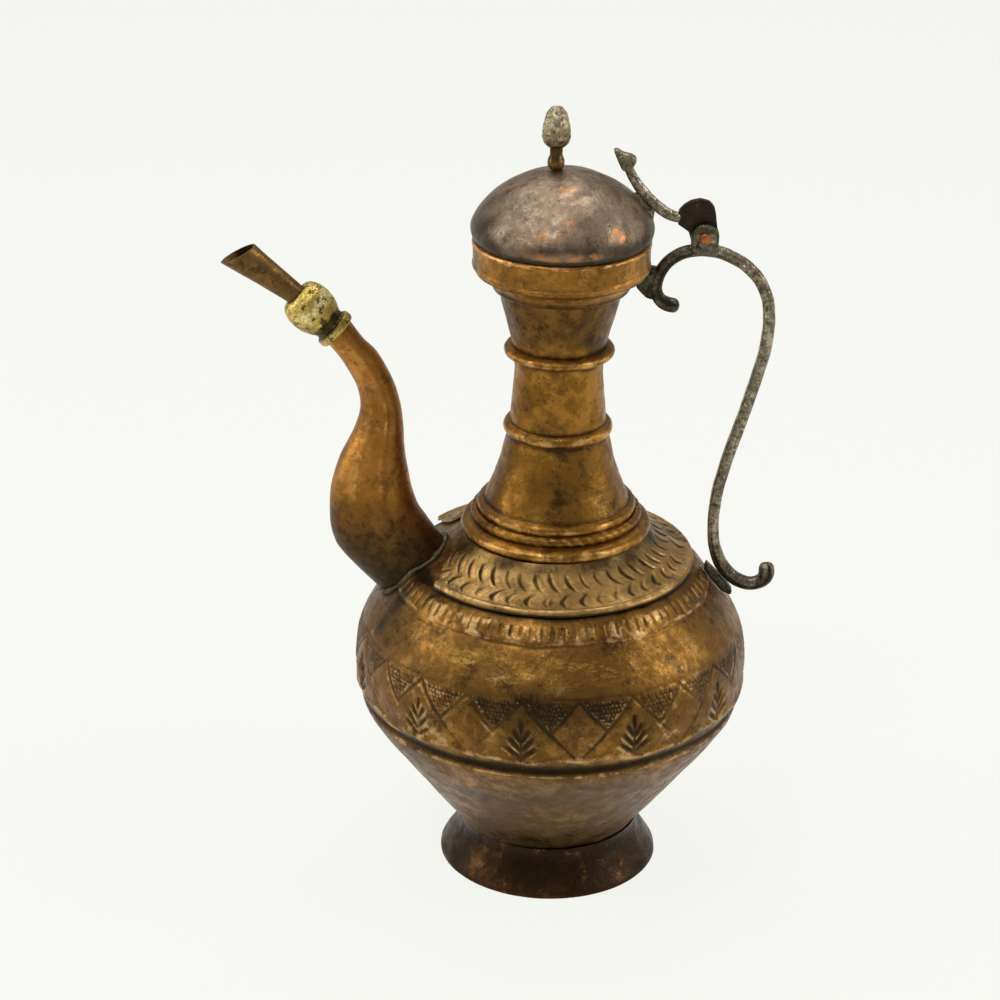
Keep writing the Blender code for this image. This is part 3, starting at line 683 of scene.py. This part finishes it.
def seam_relief(azimuth, radius, height):
    """The bowl's bright edge under the seam, its dark band under the belly's lip, and painted shadow
    where it goes into the foot.
    """
    edge = 0.5 * groove(height - 83.6, 1.0)
    # The second term is painted shadow where the bowl goes into the foot.
    darkening = 0.9 * between(height, 84.5, 94, 0.8) + 0.8 * between(height, 10, 22.5, 2)
    return edge * 0.4, darkening, edge * 1.6


def rope_relief(azimuth, radius, height):
    """Twisted strands."""
    twist = np.radians(azimuth) * 48 + (height - 173.5) * 1.1
    strand = np.cos(twist) * uneven(np.round(azimuth / 30), 0.4)
    return 0.13 * strand, 0.3 - 0.3 * strand, 0.4 + 0.4 * strand


def neck_relief(azimuth, radius, height):
    """A scored line low on the cone, darker beside the beads, and painted shade under the rim and low
    on the cone behind the rings.
    """
    line = groove(height - 190, 0.5) * 0.2
    joint = groove(height - 211, 1.6) + groove(height - 217.6, 1.2) + groove(height - 247, 1.6)
    joint += groove(height - 253.4, 1.4) + groove(height - 180.4, 1.3)
    # Painted shade on the flare under the mouth, and low on the cone behind the rings.
    shade = 0.62 * between(height, 256, 285, 5) + 0.25 * between(height, 166, 174, 3)
    return -line, line + 0.6 * joint + shade, np.zeros_like(line)


def bead_relief(azimuth, radius, height):
    """A soldered wire ring: rubbed bright along its ridge."""
    ridge = np.clip((radius - radius.min()) / (radius.max() - radius.min()), 0, 1)
    return np.zeros_like(ridge), 0.7 * (1 - ridge) ** 2, 0.9 * ridge ** 3


def cup_relief(azimuth, radius, height):
    """Painted shade in the cavetto under the rim, deepest in its corners, and a painted highlight along
    its curve.
    """
    # Painted shade, deepest in the cavetto's two corners.
    darkening = 0.35 + 0.4 * groove(height - 280.5, 1.5) + 0.4 * groove(height - 287, 1.2)
    # A painted highlight along the cavetto's curve.
    return np.zeros_like(darkening), darkening, 0.5 * groove(height - 283.6, 1.0)


def band_relief(azimuth, radius, height):
    """The rim band: rolled top and bottom edges with painted glints along them, and small nicks between
    them.
    """
    edge = groove(height - 300.2, 0.9) + 0.6 * groove(height - 289.9, 0.8)
    nick = punches(np.radians(azimuth) * radius + 3 * np.sin(height * 1.7), height, 6.5, 0.5)
    # The rolled edges carry a painted glint.
    return 0.15 * edge - 0.15 * nick, 0.7 * nick + 0.3 * groove(height - 291.6, 0.8), 0.9 * edge


def dome_relief(azimuth, radius, height):
    """Dark patina with painted shade towards the lower edge, bare copper in front, to the right and
    round the lower edge, and a painted warm highlight low on the front left.
    """
    angle = np.radians(azimuth)
    edge = groove(height - 306.5, 2.6) * (0.5 + 0.5 * np.sin(angle * 3 + 1.3))
    rubs_and_highlight = 0.8 * groove(height - 328.6, 1.8) * groove(azimuth - 2, 22)
    rubs_and_highlight += groove(height - 312, 2.6) * groove(azimuth - 38, 7)
    # A painted warm highlight low on the front left.
    rubs_and_highlight += 0.6 * groove(azimuth + 14, 26) * groove(height - 314, 6)
    rubs_and_highlight += groove(height - 305.2, 1.8) * groove(azimuth - 2, 20)
    # Painted shade towards the lower edge.
    dark = 0.62 * between(height, 296, 312, 6) + 0.4 * between(height, 298, 303.5, 1)
    dark += 0.18 + 0.12 * slow_wave(azimuth, height)
    return np.zeros_like(edge), dark * (1 - 0.7 * np.clip(rubs_and_highlight, 0, 1)), 0.6 * edge + 1.1 * rubs_and_highlight


def cone_relief(azimuth, radius, height):
    """Scales of the pine cone on the knob, left in rows by a punch."""
    row = np.round((height - 343) / 2.5)
    level = (height - 343) / 2.5 - row
    turn = azimuth / 45 + (row % 2) / 2
    side = turn - np.round(turn)
    pit = np.exp(-(level ** 2 + side ** 2) * 14) * between(height, 343.5, 359)
    pit = pit * uneven(row * 3 + np.round(turn), 0.1)
    return -0.4 * pit, 0.6 * pit + 0.5 * between(height, 330, 345, 2.5), 0.5 * (1 - pit) ** 6


def stem_relief(azimuth, radius, height):
    """The knob's stem is blackened, a little less on its bead."""
    return np.zeros_like(radius), 0.64 - 0.25 * groove(radius - 3.7, 0.4), np.zeros_like(radius)


def ball_relief(azimuth, radius, along):
    """Casting pits in the brass ferrule, and dirt in its groove."""
    spot = punches(np.radians(azimuth) * radius * 1.2 + np.sin(along * 3), along, 3.4, 0.45)
    darkening = 0.55 * spot + 0.9 * groove(along - 6.6, 1.1)
    stain = 0.8 * between(along, 4.5, 10, 1.5) * groove(np.cos(np.radians(azimuth)) - 0.7, 0.5)
    return -0.3 * spot, darkening + stain, 0.8 * groove(along - 17, 5)


# ---------------------------------------------------------------- the vessel

def build_foot_and_bowl():
    foot = dense([(41.9, 21.0), (41.2, 18.4), (42.4, 14), (45.8, 8), (49.4, 2.4), (50.3, 1.2),
                  (50.3, 0.05)], 0.8, 0.8)
    foot_inside = dense([(46.4, 0.05), (42.6, 5.6), (39.2, 11.6), (37.5, 16.9), (39.2, 17.8),
                         (40.3, 21.0)], 0.8, 0.5)
    dress(turned("foot", foot, foot_inside, FOOT_X, None, 240, (6, 0.16)),
          "foot", "jug", "foot_copper", "foot_ring")
    bowl = dense([(84.6, 92.6), (84.6, 85.8), (86.2, 84.6), (86.0, 82.4), (79.7, 72.0),
                  (70.7, 60.0), (61.7, 48.0), (52.7, 36.0), (44.1, 25.2), (41.4, 20.8),
                  (38.6, 17.4), (0.0, 17.4)], 1.1, 1.3)
    bowl[-1, 0] = 0.0
    inside = wall(bowl)
    inside[0, 0] = 0.0
    dress(turned("bowl", bowl, inside, BELLY_X, seam_relief, 360, (11, 0.3)),
          "bowl", "jug", "bowl_copper", "lower_bowl")


def build_belly():
    line = dense([(40.2, 164.6), (45.9, 158.8), (51.0, 155.0), (57.0, 151.8), (62.8, 149.6),
                  (66.4, 146.0), (72.8, 138.0), (78.0, 131.5), (82.2, 126.0), (85.6, 120.0),
                  (87.9, 114.0), (88.7, 106.0), (88.7, 100.0), (88.1, 91.8), (87.2, 88.8)],
                 0.7, 2.2)
    belly = turned("belly", line, wall(line)[::4], BELLY_X, belly_relief, 900, (12, 0.34),
                   residue=belly_residue)
    dress(belly, "belly", "jug", "belly_copper", "upper_belly")
    sheet = dense([(42.6, 165.5), (46.6, 161.3), (51.6, 157.4), (57.4, 154.3), (63.2, 152.3),
                   (64.0, 151.5), (63.7, 150.3)], 0.6, 0.6)
    collar = turned("collar", sheet, wall(sheet, 1.1), BELLY_X, collar_relief, 540, (9, 0.15),
                    span=collar_gap)
    dress(collar, "collar", "jug", "collar_copper", "shoulder_collar")


def neck_piece(name, outer, inner, node, relief=bead_relief, steps=200, hammer=(6, 0.2)):
    piece = turned(name, outer, inner, NECK_X, relief, steps, hammer)
    dress(piece, "neck", "jug", "neck_copper", node)


def build_neck():
    cone = dense([(21.6, 214.1), (23.7, 206), (25.5, 198), (28.2, 190), (32.4, 180),
                  (34.7, 173.6), (37.0, 169.4), (40.0, 166.1)], 0.9, 2.0)
    tube = dense([(20.4, 250.1), (19.3, 242), (20.0, 233), (21.6, 214.6)], 0.9, 2.0)
    flare = dense([(26.8, 278.6), (26.0, 274), (23.3, 264), (21.2, 256), (20.4, 250.6)], 0.9, 2.0)
    for name, line, node in (("neck_lower", cone, "neck_cone"), ("neck_middle", tube, "neck_tube"),
                             ("neck_upper", flare, "neck_flare")):
        neck_piece(name, line, wall(line), node, neck_relief, hammer=(8, 0.22))
    for name, inner, outer, height, half, node in (
            ("bead_low", 20.8, 24.2, 214.3, 3.2, "lower_neck_bead"),
            ("bead_high", 19.6, 24.4, 250.3, 2.8, "upper_neck_bead")):
        turns = np.radians(np.linspace(80, -80, 13))
        line = np.stack([inner + (outer - inner) * np.cos(turns),
                         height + half * np.sin(turns)], axis=1)
        back = np.array([(inner, height - half), (inner, height + half)])
        neck_piece(name, line, back, node)
    top = dense([(32.4, 180.0), (34.8, 178.9), (35.6, 177.3), (35.2, 175.4), (34.0, 174.6)],
                0.4, 0.4)
    neck_piece("ring_top", top, [(32.6, 176.0)], "neck_top_ring", hammer=(5, 0.18))
    turns = np.radians(np.linspace(90, -210, 15))
    rope = np.stack([35.9 + 2.4 * np.cos(turns), 173.1 + 2.2 * np.sin(turns)], axis=1)
    neck_piece("ring_rope", rope, [], "neck_rope_ring", rope_relief, 480, None)
    step = dense([(36.6, 171.4), (38.6, 170.6), (41.0, 170.0), (42.5, 168.4), (42.6, 166.4),
                  (41.6, 165.4)], 0.5, 0.5)
    neck_piece("ring_base", step, [(37.6, 167.4)], "neck_base_ring", hammer=(6, 0.22))


def build_mouth():
    cup = dense([(37.4, 287.0), (35.2, 286.7), (33.0, 285.3), (31.3, 283.4), (30.4, 281.6),
                 (30.4, 280.2), (29.4, 278.9), (25.6, 278.9)], 0.6, 0.6)
    dress(turned("mouth_cavetto", cup, wall(cup), MOUTH_X, cup_relief, 220, (7, 0.12)),
          "rim", "jug", "rim_copper", "mouth_cup")
    band = dense([(37.7, 301.4), (38.6, 300.9), (38.9, 299.6), (38.5, 297.6), (38.5, 291.0),
                  (38.9, 289.6), (38.4, 288.7)], 0.5, 0.4)
    inside = np.array([(33.6, 288.7), (33.6, 290.1), (37.1, 290.4), (37.1, 300.9)])
    dress(turned("mouth_band", band, inside, MOUTH_X, band_relief, 420, (8, 0.16)),
          "rim", "jug", "rim_copper", "rim_band")


# ---------------------------------------------------------------- the spout

# The spout's flattened tube: its lower and upper edge in X and Z, and half its width, from the root up.
STATIONS = [((-70, 126.5), (-41, 148), 15.5), ((-80.5, 136.5), (-49.5, 157.5), 16.5),
            ((-94.5, 151.5), (-57.5, 169), 16), ((-99, 159.5), (-61, 174.5), 15.5),
            ((-100.6, 169.5), (-63.5, 182), 14.5), ((-100, 183), (-65.5, 192), 13),
            ((-96, 197.5), (-67, 202.5), 11.5), ((-90, 210), (-67.5, 213), 9.8),
            ((-86.6, 221.5), (-68.8, 223.5), 8.6), ((-88, 231.5), (-72.2, 234.6), 7.8),
            ((-92.0, 240), (-78.6, 246.7), 7.3), ((-96.2, 246.6), (-85, 253.6), 7)]


def tip_point(along, across):
    x, z = TIP_ORIGIN
    cos, sin = math.cos(TIP_TILT), math.sin(TIP_TILT)
    return (x - along * cos + across * sin, z + along * sin + across * cos)


def tip_station(along, half):
    return (tip_point(along, -half), tip_point(along, half), half)


def loft(stations, at, angle, thickness):
    """Points of an oval tube, where at counts stations and may differ from column to column."""
    rows = np.array([[*low, *high, half] for low, high, half in stations], dtype=float)
    ends = np.concatenate([[2 * rows[0] - rows[1]], rows, [2 * rows[-1] - rows[-2]]])
    i = np.clip(np.floor(at).astype(int), 0, len(rows) - 2)
    t = (at - i)[..., None]
    a, b, c, d = ends[i], ends[i + 1], ends[i + 2], ends[i + 3]
    row = 0.5 * (2 * b + (c - a) * t + (2 * a - 5 * b + 4 * c - d) * t ** 2
                 + (3 * b - a - 3 * c + d) * t ** 3)
    low, high, half = row[..., 0:2], row[..., 2:4], row[..., 4]
    middle, across = (low + high) / 2, (high - low) / 2
    length = np.linalg.norm(across, axis=-1)
    across = across * ((length - thickness) / length)[..., None]
    cos, sin = np.cos(angle), np.sin(angle)
    return np.stack([middle[..., 0] + across[..., 0] * cos, (half - thickness) * sin,
                     middle[..., 1] + across[..., 1] * cos], axis=-1)


# The belly's outer face, a little simplified, as the spout's root is cut to it.
BELLY_OUTSIDE = np.array([(40.2, 164.6), (45.9, 158.8), (51.0, 155.0), (57.0, 151.8), (62.8, 149.6),
                          (66.4, 146.0), (72.8, 138.0), (82.2, 126.0), (85.7, 120.0),
                          (88.2, 114.0)])[::-1]


def meets_belly(stations, angle, thickness):
    """How far along the tube each of its lines comes out of the belly."""
    at = np.linspace(0, 5, 400)
    starts = []
    for turn in angle:
        points = loft(stations, at, np.full(len(at), turn), thickness)
        shell = np.interp(points[:, 2], BELLY_OUTSIDE[:, 1], BELLY_OUTSIDE[:, 0])
        outside = np.hypot(points[:, 0] + FOOT_X - BELLY_X, points[:, 1]) > shell + 0.35
        outside |= points[:, 2] > 164
        starts.append(at[np.argmax(outside)])
    return np.array(starts)


def tube(name, stations, thickness, starts, rows, columns, hammer, relief=None):
    """A hollow oval tube, its outer and inner walls joined at both ends."""
    angle = circle(columns)
    last = len(stations) - 1
    walls = []
    for depth, start in ((0.0, starts[0]), (thickness, starts[1])):
        t = np.linspace(0, 1, rows)[:, None]
        at = start[None, :] + t * (last - start[None, :])
        walls.append(loft(stations, np.minimum(at, last - 1e-6),
                          np.broadcast_to(angle, at.shape), depth))
    outer, inner = walls
    spoke = unit(outer - outer.mean(axis=1, keepdims=True))
    lift = dents(outer.reshape(-1, 3), *hammer).reshape(outer.shape[:2])
    marks = {"grime_and_shade": np.zeros((2 * rows, columns)), "wear_and_highlight": np.zeros((2 * rows, columns))}
    if relief:
        more, marks["grime_and_shade"][:rows], marks["wear_and_highlight"][:rows] = relief(outer, angle)
        lift = lift + more
    outer = outer + spoke * lift[..., None]
    verts = np.concatenate([outer, inner[::-1]])
    faces = grid_faces(2 * rows, columns, True, True)
    return make_object(name, place(verts, FOOT_X), faces, marks)


def spout_relief(points, angle):
    """Long soft ridges from raising the tube, darker where it is soldered to the belly."""
    height = points[..., 2]
    turn = np.degrees(angle)[None, :] % 180 - 90
    ridge = 0.75 * groove(turn + 22, 9) + 0.6 * groove(turn - 17, 8) - 0.45 * groove(turn + 2, 10)
    ridge = ridge * between(height, 168, 243, 16)
    root = 0.95 * np.exp(-(np.maximum(height - 138, 0) / 22) ** 2)
    root = root + 0.42 * between(height, 156, 184, 9) + 0.12
    ring = 0.5 * groove(height - 250, 3)
    return ridge, root, 1.1 * np.clip(ridge, 0, 1) + ring


def solder_seam(angle, starts):
    """The uneven bead of solder where the spout meets the belly."""
    ring = loft(SPOUT, starts, angle, -0.5)
    count = len(ring)
    ahead = unit(np.roll(ring, -1, axis=0) - np.roll(ring, 1, axis=0))
    side = unit(np.cross(ahead, ring - ring.mean(axis=0)))
    out = np.cross(side, ahead)
    turn = circle(10)
    thick = 1.6 + 0.35 * np.sin(angle * 7) + 0.2 * np.sin(angle * 17 + 1)
    verts = (ring[:, None] + thick[:, None, None]
             * (np.cos(turn)[None, :, None] * out[:, None]
                + np.sin(turn)[None, :, None] * side[:, None]))
    faces = grid_faces(count, len(turn), True, True)
    marks = {"grime_and_shade": np.full(verts.shape[:2], 0.5), "wear_and_highlight": np.full(verts.shape[:2], 0.25)}
    return make_object("spout_solder", place(verts, FOOT_X), faces, marks)


SPOUT = STATIONS + [tip_station(0.9, 7.0), tip_station(4.2, 7.1)]


def build_spout():
    columns = 96
    angle = circle(columns)
    starts = [meets_belly(SPOUT, angle, depth) for depth in (0.0, SHEET)]
    dress(tube("spout", SPOUT, SHEET, starts, 190, columns, (11, 0.22), spout_relief),
          "spout", "jug", "spout_copper", "spout_body")
    dress(solder_seam(angle, starts[0]), "solder", "jug", "spout_copper")
    ferrule = dense([(5.1, 26.0), (7.2, 26.2), (9.0, 24.8), (10.4, 21.4), (10.8, 17.4),
                     (10.3, 13.2), (8.8, 9.6), (7.5, 7.4), (7.5, 5.8), (9.1, 4.9), (9.2, 2.2),
                     (8.7, 1.2), (7.6, 1.1)], 0.4, 0.35)
    piece = turned("ferrule", ferrule, [(7.6, 4.6), (5.1, 4.6)], 0.0, ball_relief, 144,
                   (3.5, 0.12))
    piece.data.transform(Matrix.Translation(Vector((FOOT_X + TIP_ORIGIN[0], 0, TIP_ORIGIN[1])) * MM)
                         @ Matrix.Rotation(TIP_TILT - math.pi / 2, 4, "Y"))
    dress(piece, "brass", "jug", "ferrule_brass", "spout_ferrule")
    beak = [tip_station(19.0, 4.65), tip_station(26.4, 4.75), ((-128.8, 277.6), (-119, 284.6), 5.2),
            ((-138, 283.2), (-126, 291), 5.8), ((-146.4, 288.3), (-131.4, 296.3), 6.3)]
    zero = np.zeros(64)
    dress(tube("beak", beak, 0.95, [zero, zero], 60, 64, (5, 0.12)), "beak", "jug",
          "beak_copper", "spout_beak")


# ---------------------------------------------------------------- the handle and its hinge

# Rows of (X, Z, thickness against the bar's own) along the handle and the lid's arm.
HANDLE = [(50.2, 271.0, 1.15), (48.2, 270.9, 1.25), (44.0, 272.9, 1.05), (41.9, 278.0, 1.0),
          (43.0, 285.0, 1.0), (46.8, 291.2, 1.0), (53.0, 295.4, 1.0), (61.0, 296.9, 1.0),
          (70.0, 295.8, 1.0), (80.0, 290.8, 1.0), (87.2, 283.6, 1.0), (91.4, 274.0, 1.0),
          (92.3, 263.0, 1.0), (91.0, 250.0, 1.0), (88.2, 239.0, 1.0), (83.0, 220.0, 1.0),
          (77.2, 201.0, 1.0), (73.0, 184.0, 0.97), (71.5, 170.0, 0.97), (72.2, 157.0, 1.0),
          (75.6, 147.0, 1.12), (81.6, 140.0, 1.14), (88.4, 136.8, 1.08), (94.2, 137.8, 1.05),
          (96.8, 140.4, 1.25), (97.3, 143.0, 1.45), (96.8, 144.8, 1.3)]
ARM = [(50.2, 311.4, 0.95), (46.4, 312.6, 1.0), (42.2, 315.6, 1.05), (37.6, 319.8, 1.05),
       (34.0, 324.2, 1.0), (31.0, 328.6, 0.92), (28.8, 333.0, 0.85), (27.6, 336.0, 0.8)]
ARM_HEAD = [(29.9, 331.0), (26.0, 332.4), (24.2, 336.2), (22.2, 341.2), (23.6, 341.8),
            (26.6, 339.9), (30.0, 339.2), (32.2, 337.8), (32.0, 335.6), (30.7, 333.6)]


def arc(centre, radius, start, end, count):
    turns = np.radians(np.linspace(start, end, count))
    return list(zip(centre[0] + radius * np.cos(turns), centre[1] + radius * np.sin(turns)))


def handle_dirt(x, z):
    """The bar is black beside the rim, and dark again in its lower scroll."""
    return 0.72 * between(x, 30, 66, 10) * between(z, 262, 300, 4) + 0.6 * between(z, 120, 158, 12)


def build_handle():
    path = rounded_ends(dense(HANDLE, 1.1, 2.4), BAR_RADIUS)
    bar = bored(swept("handle", path, forged_section, FOOT_X, (5, 0.13), handle_dirt), SLOT_RADIUS,
                EAR_INNER)
    dress_iron(bar, "jug", "handle_bar")
    x, z = PIVOT
    outline = arc((x, z + 0.3), 6.0, 0, 180, 17) + [(x - 5.4, 295.4), (x + 5.6, 295.2)]
    middle, half = (EAR_INNER + EAR_OUTER) / 2, (EAR_OUTER - EAR_INNER) / 2
    for name, y in (("ear_near", -middle), ("ear_far", middle)):
        ear = bored(plate(name, outline, half, y, black=0.62), PIN_HOLE, EAR_OUTER + 2)
        dress_iron(ear, "jug", "handle_bar")
    lug = [(38.2, 288.5), (39.5, 289.0), (42.6, 288.6), (43.4, 285.0), (43.0, 279.0), (43.6, 274.6),
           (40.4, 274.0), (38.0, 274.8), (35.8, 277.0), (33.8, 279.2), (33.4, 282.0), (34.8, 286.2)]
    dress_iron(plate("lug", lug, 2.1, bevel=0.9, black=0.78), "jug", "handle_top_lug")
    pad = [(69.4, 148.0), (73.6, 143.8), (78.6, 138.4), (81.6, 134.4), (80.8, 132.2),
           (76.4, 134.4), (71.4, 140.4), (68.2, 145.0)]
    dress_iron(plate("pad", pad, 3.0, bevel=1.1, black=0.74), "jug", "handle_foot_pad")
    repaint("arm_seat", "iron")
    repaint("hinge_rivet", "rivet")


# ---------------------------------------------------------------- the lid

def lean_dome(piece):
    """The dome is higher towards the hinge, as its maker raised it, over a level base."""
    for vertex in piece.data.vertices:
        height = vertex.co.z / MM - DOME_BASE
        share = min(1.0, max(0.0, height / 8))
        x = vertex.co.x - MOUTH_X * MM
        vertex.co.x -= share * LEAN * height * MM
        vertex.co.z += share * LEAN * x


def build_lid():
    outer = dense([(0.0, 332.2), (8.2, 331.4), (16.4, 329.0), (24.8, 324.7), (31.4, 319.8),
                   (36.2, 314.4), (38.8, 310.2), (39.8, 307.4), (39.8, 305.4), (39.3, 303.4),
                   (38.1, 301.8)], 0.8, 1.6)
    outer[0, 0] = 0.0
    inside = wall(outer)
    inside[-1, 0] = 0.0
    dome = turned("dome", outer, inside, MOUTH_X, dome_relief, 360, (8, 0.26))
    lean_dome(dome)
    dress(dome, "lid", "lid", "lid_copper", "lid_dome")
    sleeve = dense([(36.2, 306.0), (35.7, 302.0), (35.7, 294.5)], 1.0, 0.5)
    dress(turned("sleeve", sleeve, wall(sleeve, 1.1), MOUTH_X, None, 160, (7, 0.06)), "lid",
          "lid", "lid_copper", "lid_flange")
    knob = dense([(0, 360.2), (2.6, 359.4), (4.4, 357.0), (5.9, 351.6), (6.3, 346.8),
                  (5.3, 343.8), (3.0, 341.8), (0, 341.8)], 0.35, 0.35)
    stem = dense([(0, 342.6), (2.9, 342.4), (2.7, 338.6), (3.7, 336.2), (3.6, 333.8), (2.9, 332.6),
                  (1.6, 332.5), (1.6, 328.6), (0, 328.6)], 0.35, 0.3)
    for name, line, look, relief in (("knob", knob, "finial", cone_relief),
                                     ("knob_stem", stem, "beak", stem_relief)):
        line[0, 0] = line[-1, 0] = 0.0
        dress(turned(name, line, [], FINIAL_X, relief, 120, (2.6, 0.1)), look, "lid",
              "finial_metal", "finial")
    repaint("finial_washer", "lid")


def build_arm():
    arm = swept("arm", rounded_ends(dense(ARM, 0.7, 1.2), 2.45), forged_section, FOOT_X, (4, 0.12))
    dress_iron(arm, "lid", "lid_arm")
    dress_iron(plate("arm_thumb", ARM_HEAD, 2.3, bevel=0.9), "lid", "lid_arm")
    lobe = [(50.8, 308.4), (50.8, 314.4), (53.0, 316.9), (56.0, 318.9), (60.0, 319.8),
            (64.0, 318.8), (66.2, 316.4), (67.0, 313.0), (67.3, 310.0), (67.7, 307.6)]
    outline = lobe + arc(PIVOT, 6.3, 33, -170, 12) + [(55.4, 305.2)]
    leaf_plate = bored(plate("thumb_leaf", outline, 1.5, bevel=0.35), PIN_HOLE, 4)
    dress(leaf_plate, "thumb", "lid", "thumb_copper", "thumb_plate")


# ---------------------------------------------------------------- stage

def build_floor():
    mesh = bpy.data.meshes.new("floor")
    corners = [(FLOOR_REACH * x, FLOOR_REACH * y, 0) for x, y in ((-1, -1), (1, -1), (1, 1), (-1, 1))]
    mesh.from_pydata(corners, [], [(0, 1, 2, 3)])
    floor = linked("floor", mesh)
    material = bpy.data.materials.new("floor_paper")
    material.use_nodes = True
    set_inputs(material.node_tree.nodes["Principled BSDF"], Base_Color=(0.06, 0.06, 0.06, 1),
               Roughness=0.95, Specular_IOR_Level=0.0, Emission_Color=(0.93, 0.94, 0.895, 1),
               Emission_Strength=0.925)
    mesh.materials.append(material)


def area_light(name, spot, size, power):
    light = bpy.data.lights.new(name, "AREA")
    light.shape = "RECTANGLE"
    light.size, light.size_y = size
    light.energy = power
    lamp = linked(name, light)
    lamp.location = spot
    aim = Vector(LIGHTS_AIM) - Vector(spot)
    lamp.rotation_euler = aim.to_track_quat("-Z", "Y").to_euler()


def build_stage():
    build_floor()
    world = bpy.data.worlds.new("studio")
    world.use_nodes = True
    set_inputs(world.node_tree.nodes["Background"], Color=(1.0, 0.98, 0.95, 1), Strength=0.34)
    bpy.context.scene.world = world
    area_light("overhead", (-0.1, 0.55, 1.75), (1.5, 0.9), 18)
    area_light("front", (-0.5, -0.8, 1.7), (0.5, 0.4), 10)
    area_light("side_left", (-1.5, 0.0, 0.8), (0.4, 1.0), 8)
    area_light("side_right", (1.5, -0.2, 0.9), (0.35, 1.0), 11)
    camera = bpy.data.cameras.new("camera")
    camera.sensor_width = 36
    camera.lens = 105.556
    view = linked("camera", camera)
    view.matrix_world = (Matrix.Translation((-0.0016, -1.1999, 0.7146))
                         @ Matrix.Rotation(math.radians(90 - 24.13), 4, "X")
                         @ Matrix.Rotation(math.radians(0.71), 4, "Z"))
    bpy.context.scene.camera = view
    bpy.context.scene.view_settings.view_transform = "Standard"


build_foot_and_bowl()
build_belly()
build_neck()
build_mouth()
build_spout()
build_handle()
build_lid()
build_arm()
build_stage()
bpy.context.view_layer.update()
